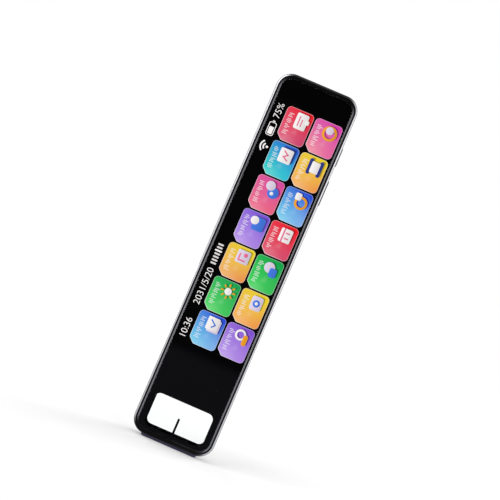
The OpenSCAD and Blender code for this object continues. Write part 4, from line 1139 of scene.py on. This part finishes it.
class TRANSLATOR_OT_inside(TranslatorOperator):
    """Finishes the electronics inside the body"""
    bl_idname = "translator.inside"
    bl_label = "Inside"

    def execute(self, context):
        coat("light_unit", "flex", "switch", "circuit_board", "can", "chip", "battery", "tape",
             "lead", "mic")
        # gold contacts on both faces of the charging inlet's tongue
        contacts, pitch, half = 12, 0.5, 0.13
        low, high = box_mm("usb_tongue")
        form = Form()
        for face, out in ((low.y, -1), (high.y, 1)):
            levels = sorted((face + 0.006 * out, face - 0.004 * out))
            for k in range(contacts):
                x = (k - (contacts - 1) / 2) * pitch
                outline = rounded((x - half, high.z - 3.6), (x + half, high.z - 0.5), 0.06, count=3)
                form.add(*prism(outline, *levels))
        form.make("inlet_contacts", "mic")
        return {"FINISHED"}


def paper(f):
    """1 for a ray from the camera or off gloss or through glass, which sees the white paper."""
    path = f.tree.nodes.new("ShaderNodeLightPath")
    camera, glossy, through = (Signal(f, path.outputs[name]) for name in (
        "Is Camera Ray", "Is Glossy Ray", "Is Transmission Ray"))
    return camera.most(glossy.most(through))


# name, place in metres and power in watts of the square lamps
LAMPS = [("key", (-0.45, -0.55, 0.45), 3.0), ("fill", (0.6, -0.5, 0.2), 1.4),
         ("back_key", (0.5, 0.55, 0.4), 3.0), ("back_fill", (-0.55, 0.5, 0.25), 1.4)]
LAMP_SIZE = 0.5


class TRANSLATOR_OT_stage(TranslatorOperator):
    """Lays the pale floor and sets the soft studio light"""
    bl_idname = "translator.stage"
    bl_label = "Stage"

    def execute(self, context):
        studio = setting("studio")
        half = 3.0
        mesh = bpy.data.meshes.new("floor")
        corners = [(-half, -half, 0), (half, -half, 0), (half, half, 0), (-half, half, 0)]
        mesh.from_pydata(corners, [], [(0, 1, 2, 3)])
        floor = linked("floor", mesh)
        # paper that grows white away from the object, and keeps its shadow near it
        f = Finish("floor_paper", roughness=0.9, specular_ior_level=0.0, emission_strength=1.0)
        f.put("Base Color", f.blend("e9e9e9", "eeeeee", f.noise(30)))
        away = f.node("ShaderNodeVectorMath", {"operation": "LENGTH"}, {0: f.place()},
                      output="Value")
        f.put("Emission Color", paper(f) * (0.2 + 0.8 * away.step(0.2, 0.9)))
        mesh.materials.append(f.material)

        world = bpy.data.worlds.new("studio")
        context.scene.world = world
        world.use_nodes = True
        w = Finish("studio", world.node_tree)
        level = studio.ambient + (1 - studio.ambient) * paper(w)
        background = w.node("ShaderNodeBackground", None, {"Color": (1, 1, 1), "Strength": level})
        out = w.tree.nodes.new("ShaderNodeOutputWorld")
        w.feed(out.inputs["Surface"], background)

        middle = Vector((0, 0, 80)) * MM
        for name, where, power in LAMPS:
            data = bpy.data.lights.new(name, "AREA")
            data.shape, data.size, data.energy = "SQUARE", LAMP_SIZE, power * studio.lamps
            lamp = linked(name, data)
            lamp.location = where
            lamp.rotation_euler = (middle - lamp.location).to_track_quat("-Z", "Y").to_euler()
        context.scene.view_settings.view_transform = "Standard"
        return {"FINISHED"}


# the operators, in the order in which they are called
OPERATORS = [TRANSLATOR_OT_camera, TRANSLATOR_OT_glass, TRANSLATOR_OT_metalwork,
             TRANSLATOR_OT_shell, TRANSLATOR_OT_tiles, TRANSLATOR_OT_status,
             TRANSLATOR_OT_camera_plate, TRANSLATOR_OT_rear_camera, TRANSLATOR_OT_scanner,
             TRANSLATOR_OT_inside, TRANSLATOR_OT_stage]
GROUPS = {"colours": TranslatorColours, "sizes": TranslatorSizes, "studio": TranslatorStudio}


class TRANSLATOR_PT_panel(bpy.types.Panel):
    """Sidebar panel with the settings and one button for each step"""
    bl_idname = "TRANSLATOR_PT_panel"
    bl_label = "Handheld translator"
    bl_space_type = "VIEW_3D"
    bl_region_type = "UI"
    bl_category = "Translator"

    def draw(self, context):
        for name in GROUPS:
            group, box = setting(name), self.layout.box()
            for prop in group.bl_rna.properties.keys():
                if prop not in {"rna_type", "name"}:
                    box.prop(group, prop)
        for item in OPERATORS:
            self.layout.operator(item.bl_idname)


CLASSES = [*GROUPS.values(), *OPERATORS, TRANSLATOR_PT_panel]


def register():
    """Registers the classes and hangs the settings on the scene."""
    for item in CLASSES:
        bpy.utils.register_class(item)
    for name, group in GROUPS.items():
        setattr(bpy.types.Scene, "translator_" + name, PointerProperty(type=group))


def unregister():
    """Takes back what register did."""
    for name in GROUPS:
        delattr(bpy.types.Scene, "translator_" + name)
    for item in reversed(CLASSES):
        bpy.utils.unregister_class(item)


def main():
    """Builds everything in order."""
    register()
    for item in OPERATORS:
        getattr(bpy.ops.translator, item.bl_idname.split(".")[1])()


if __name__ == "__main__":
    main()
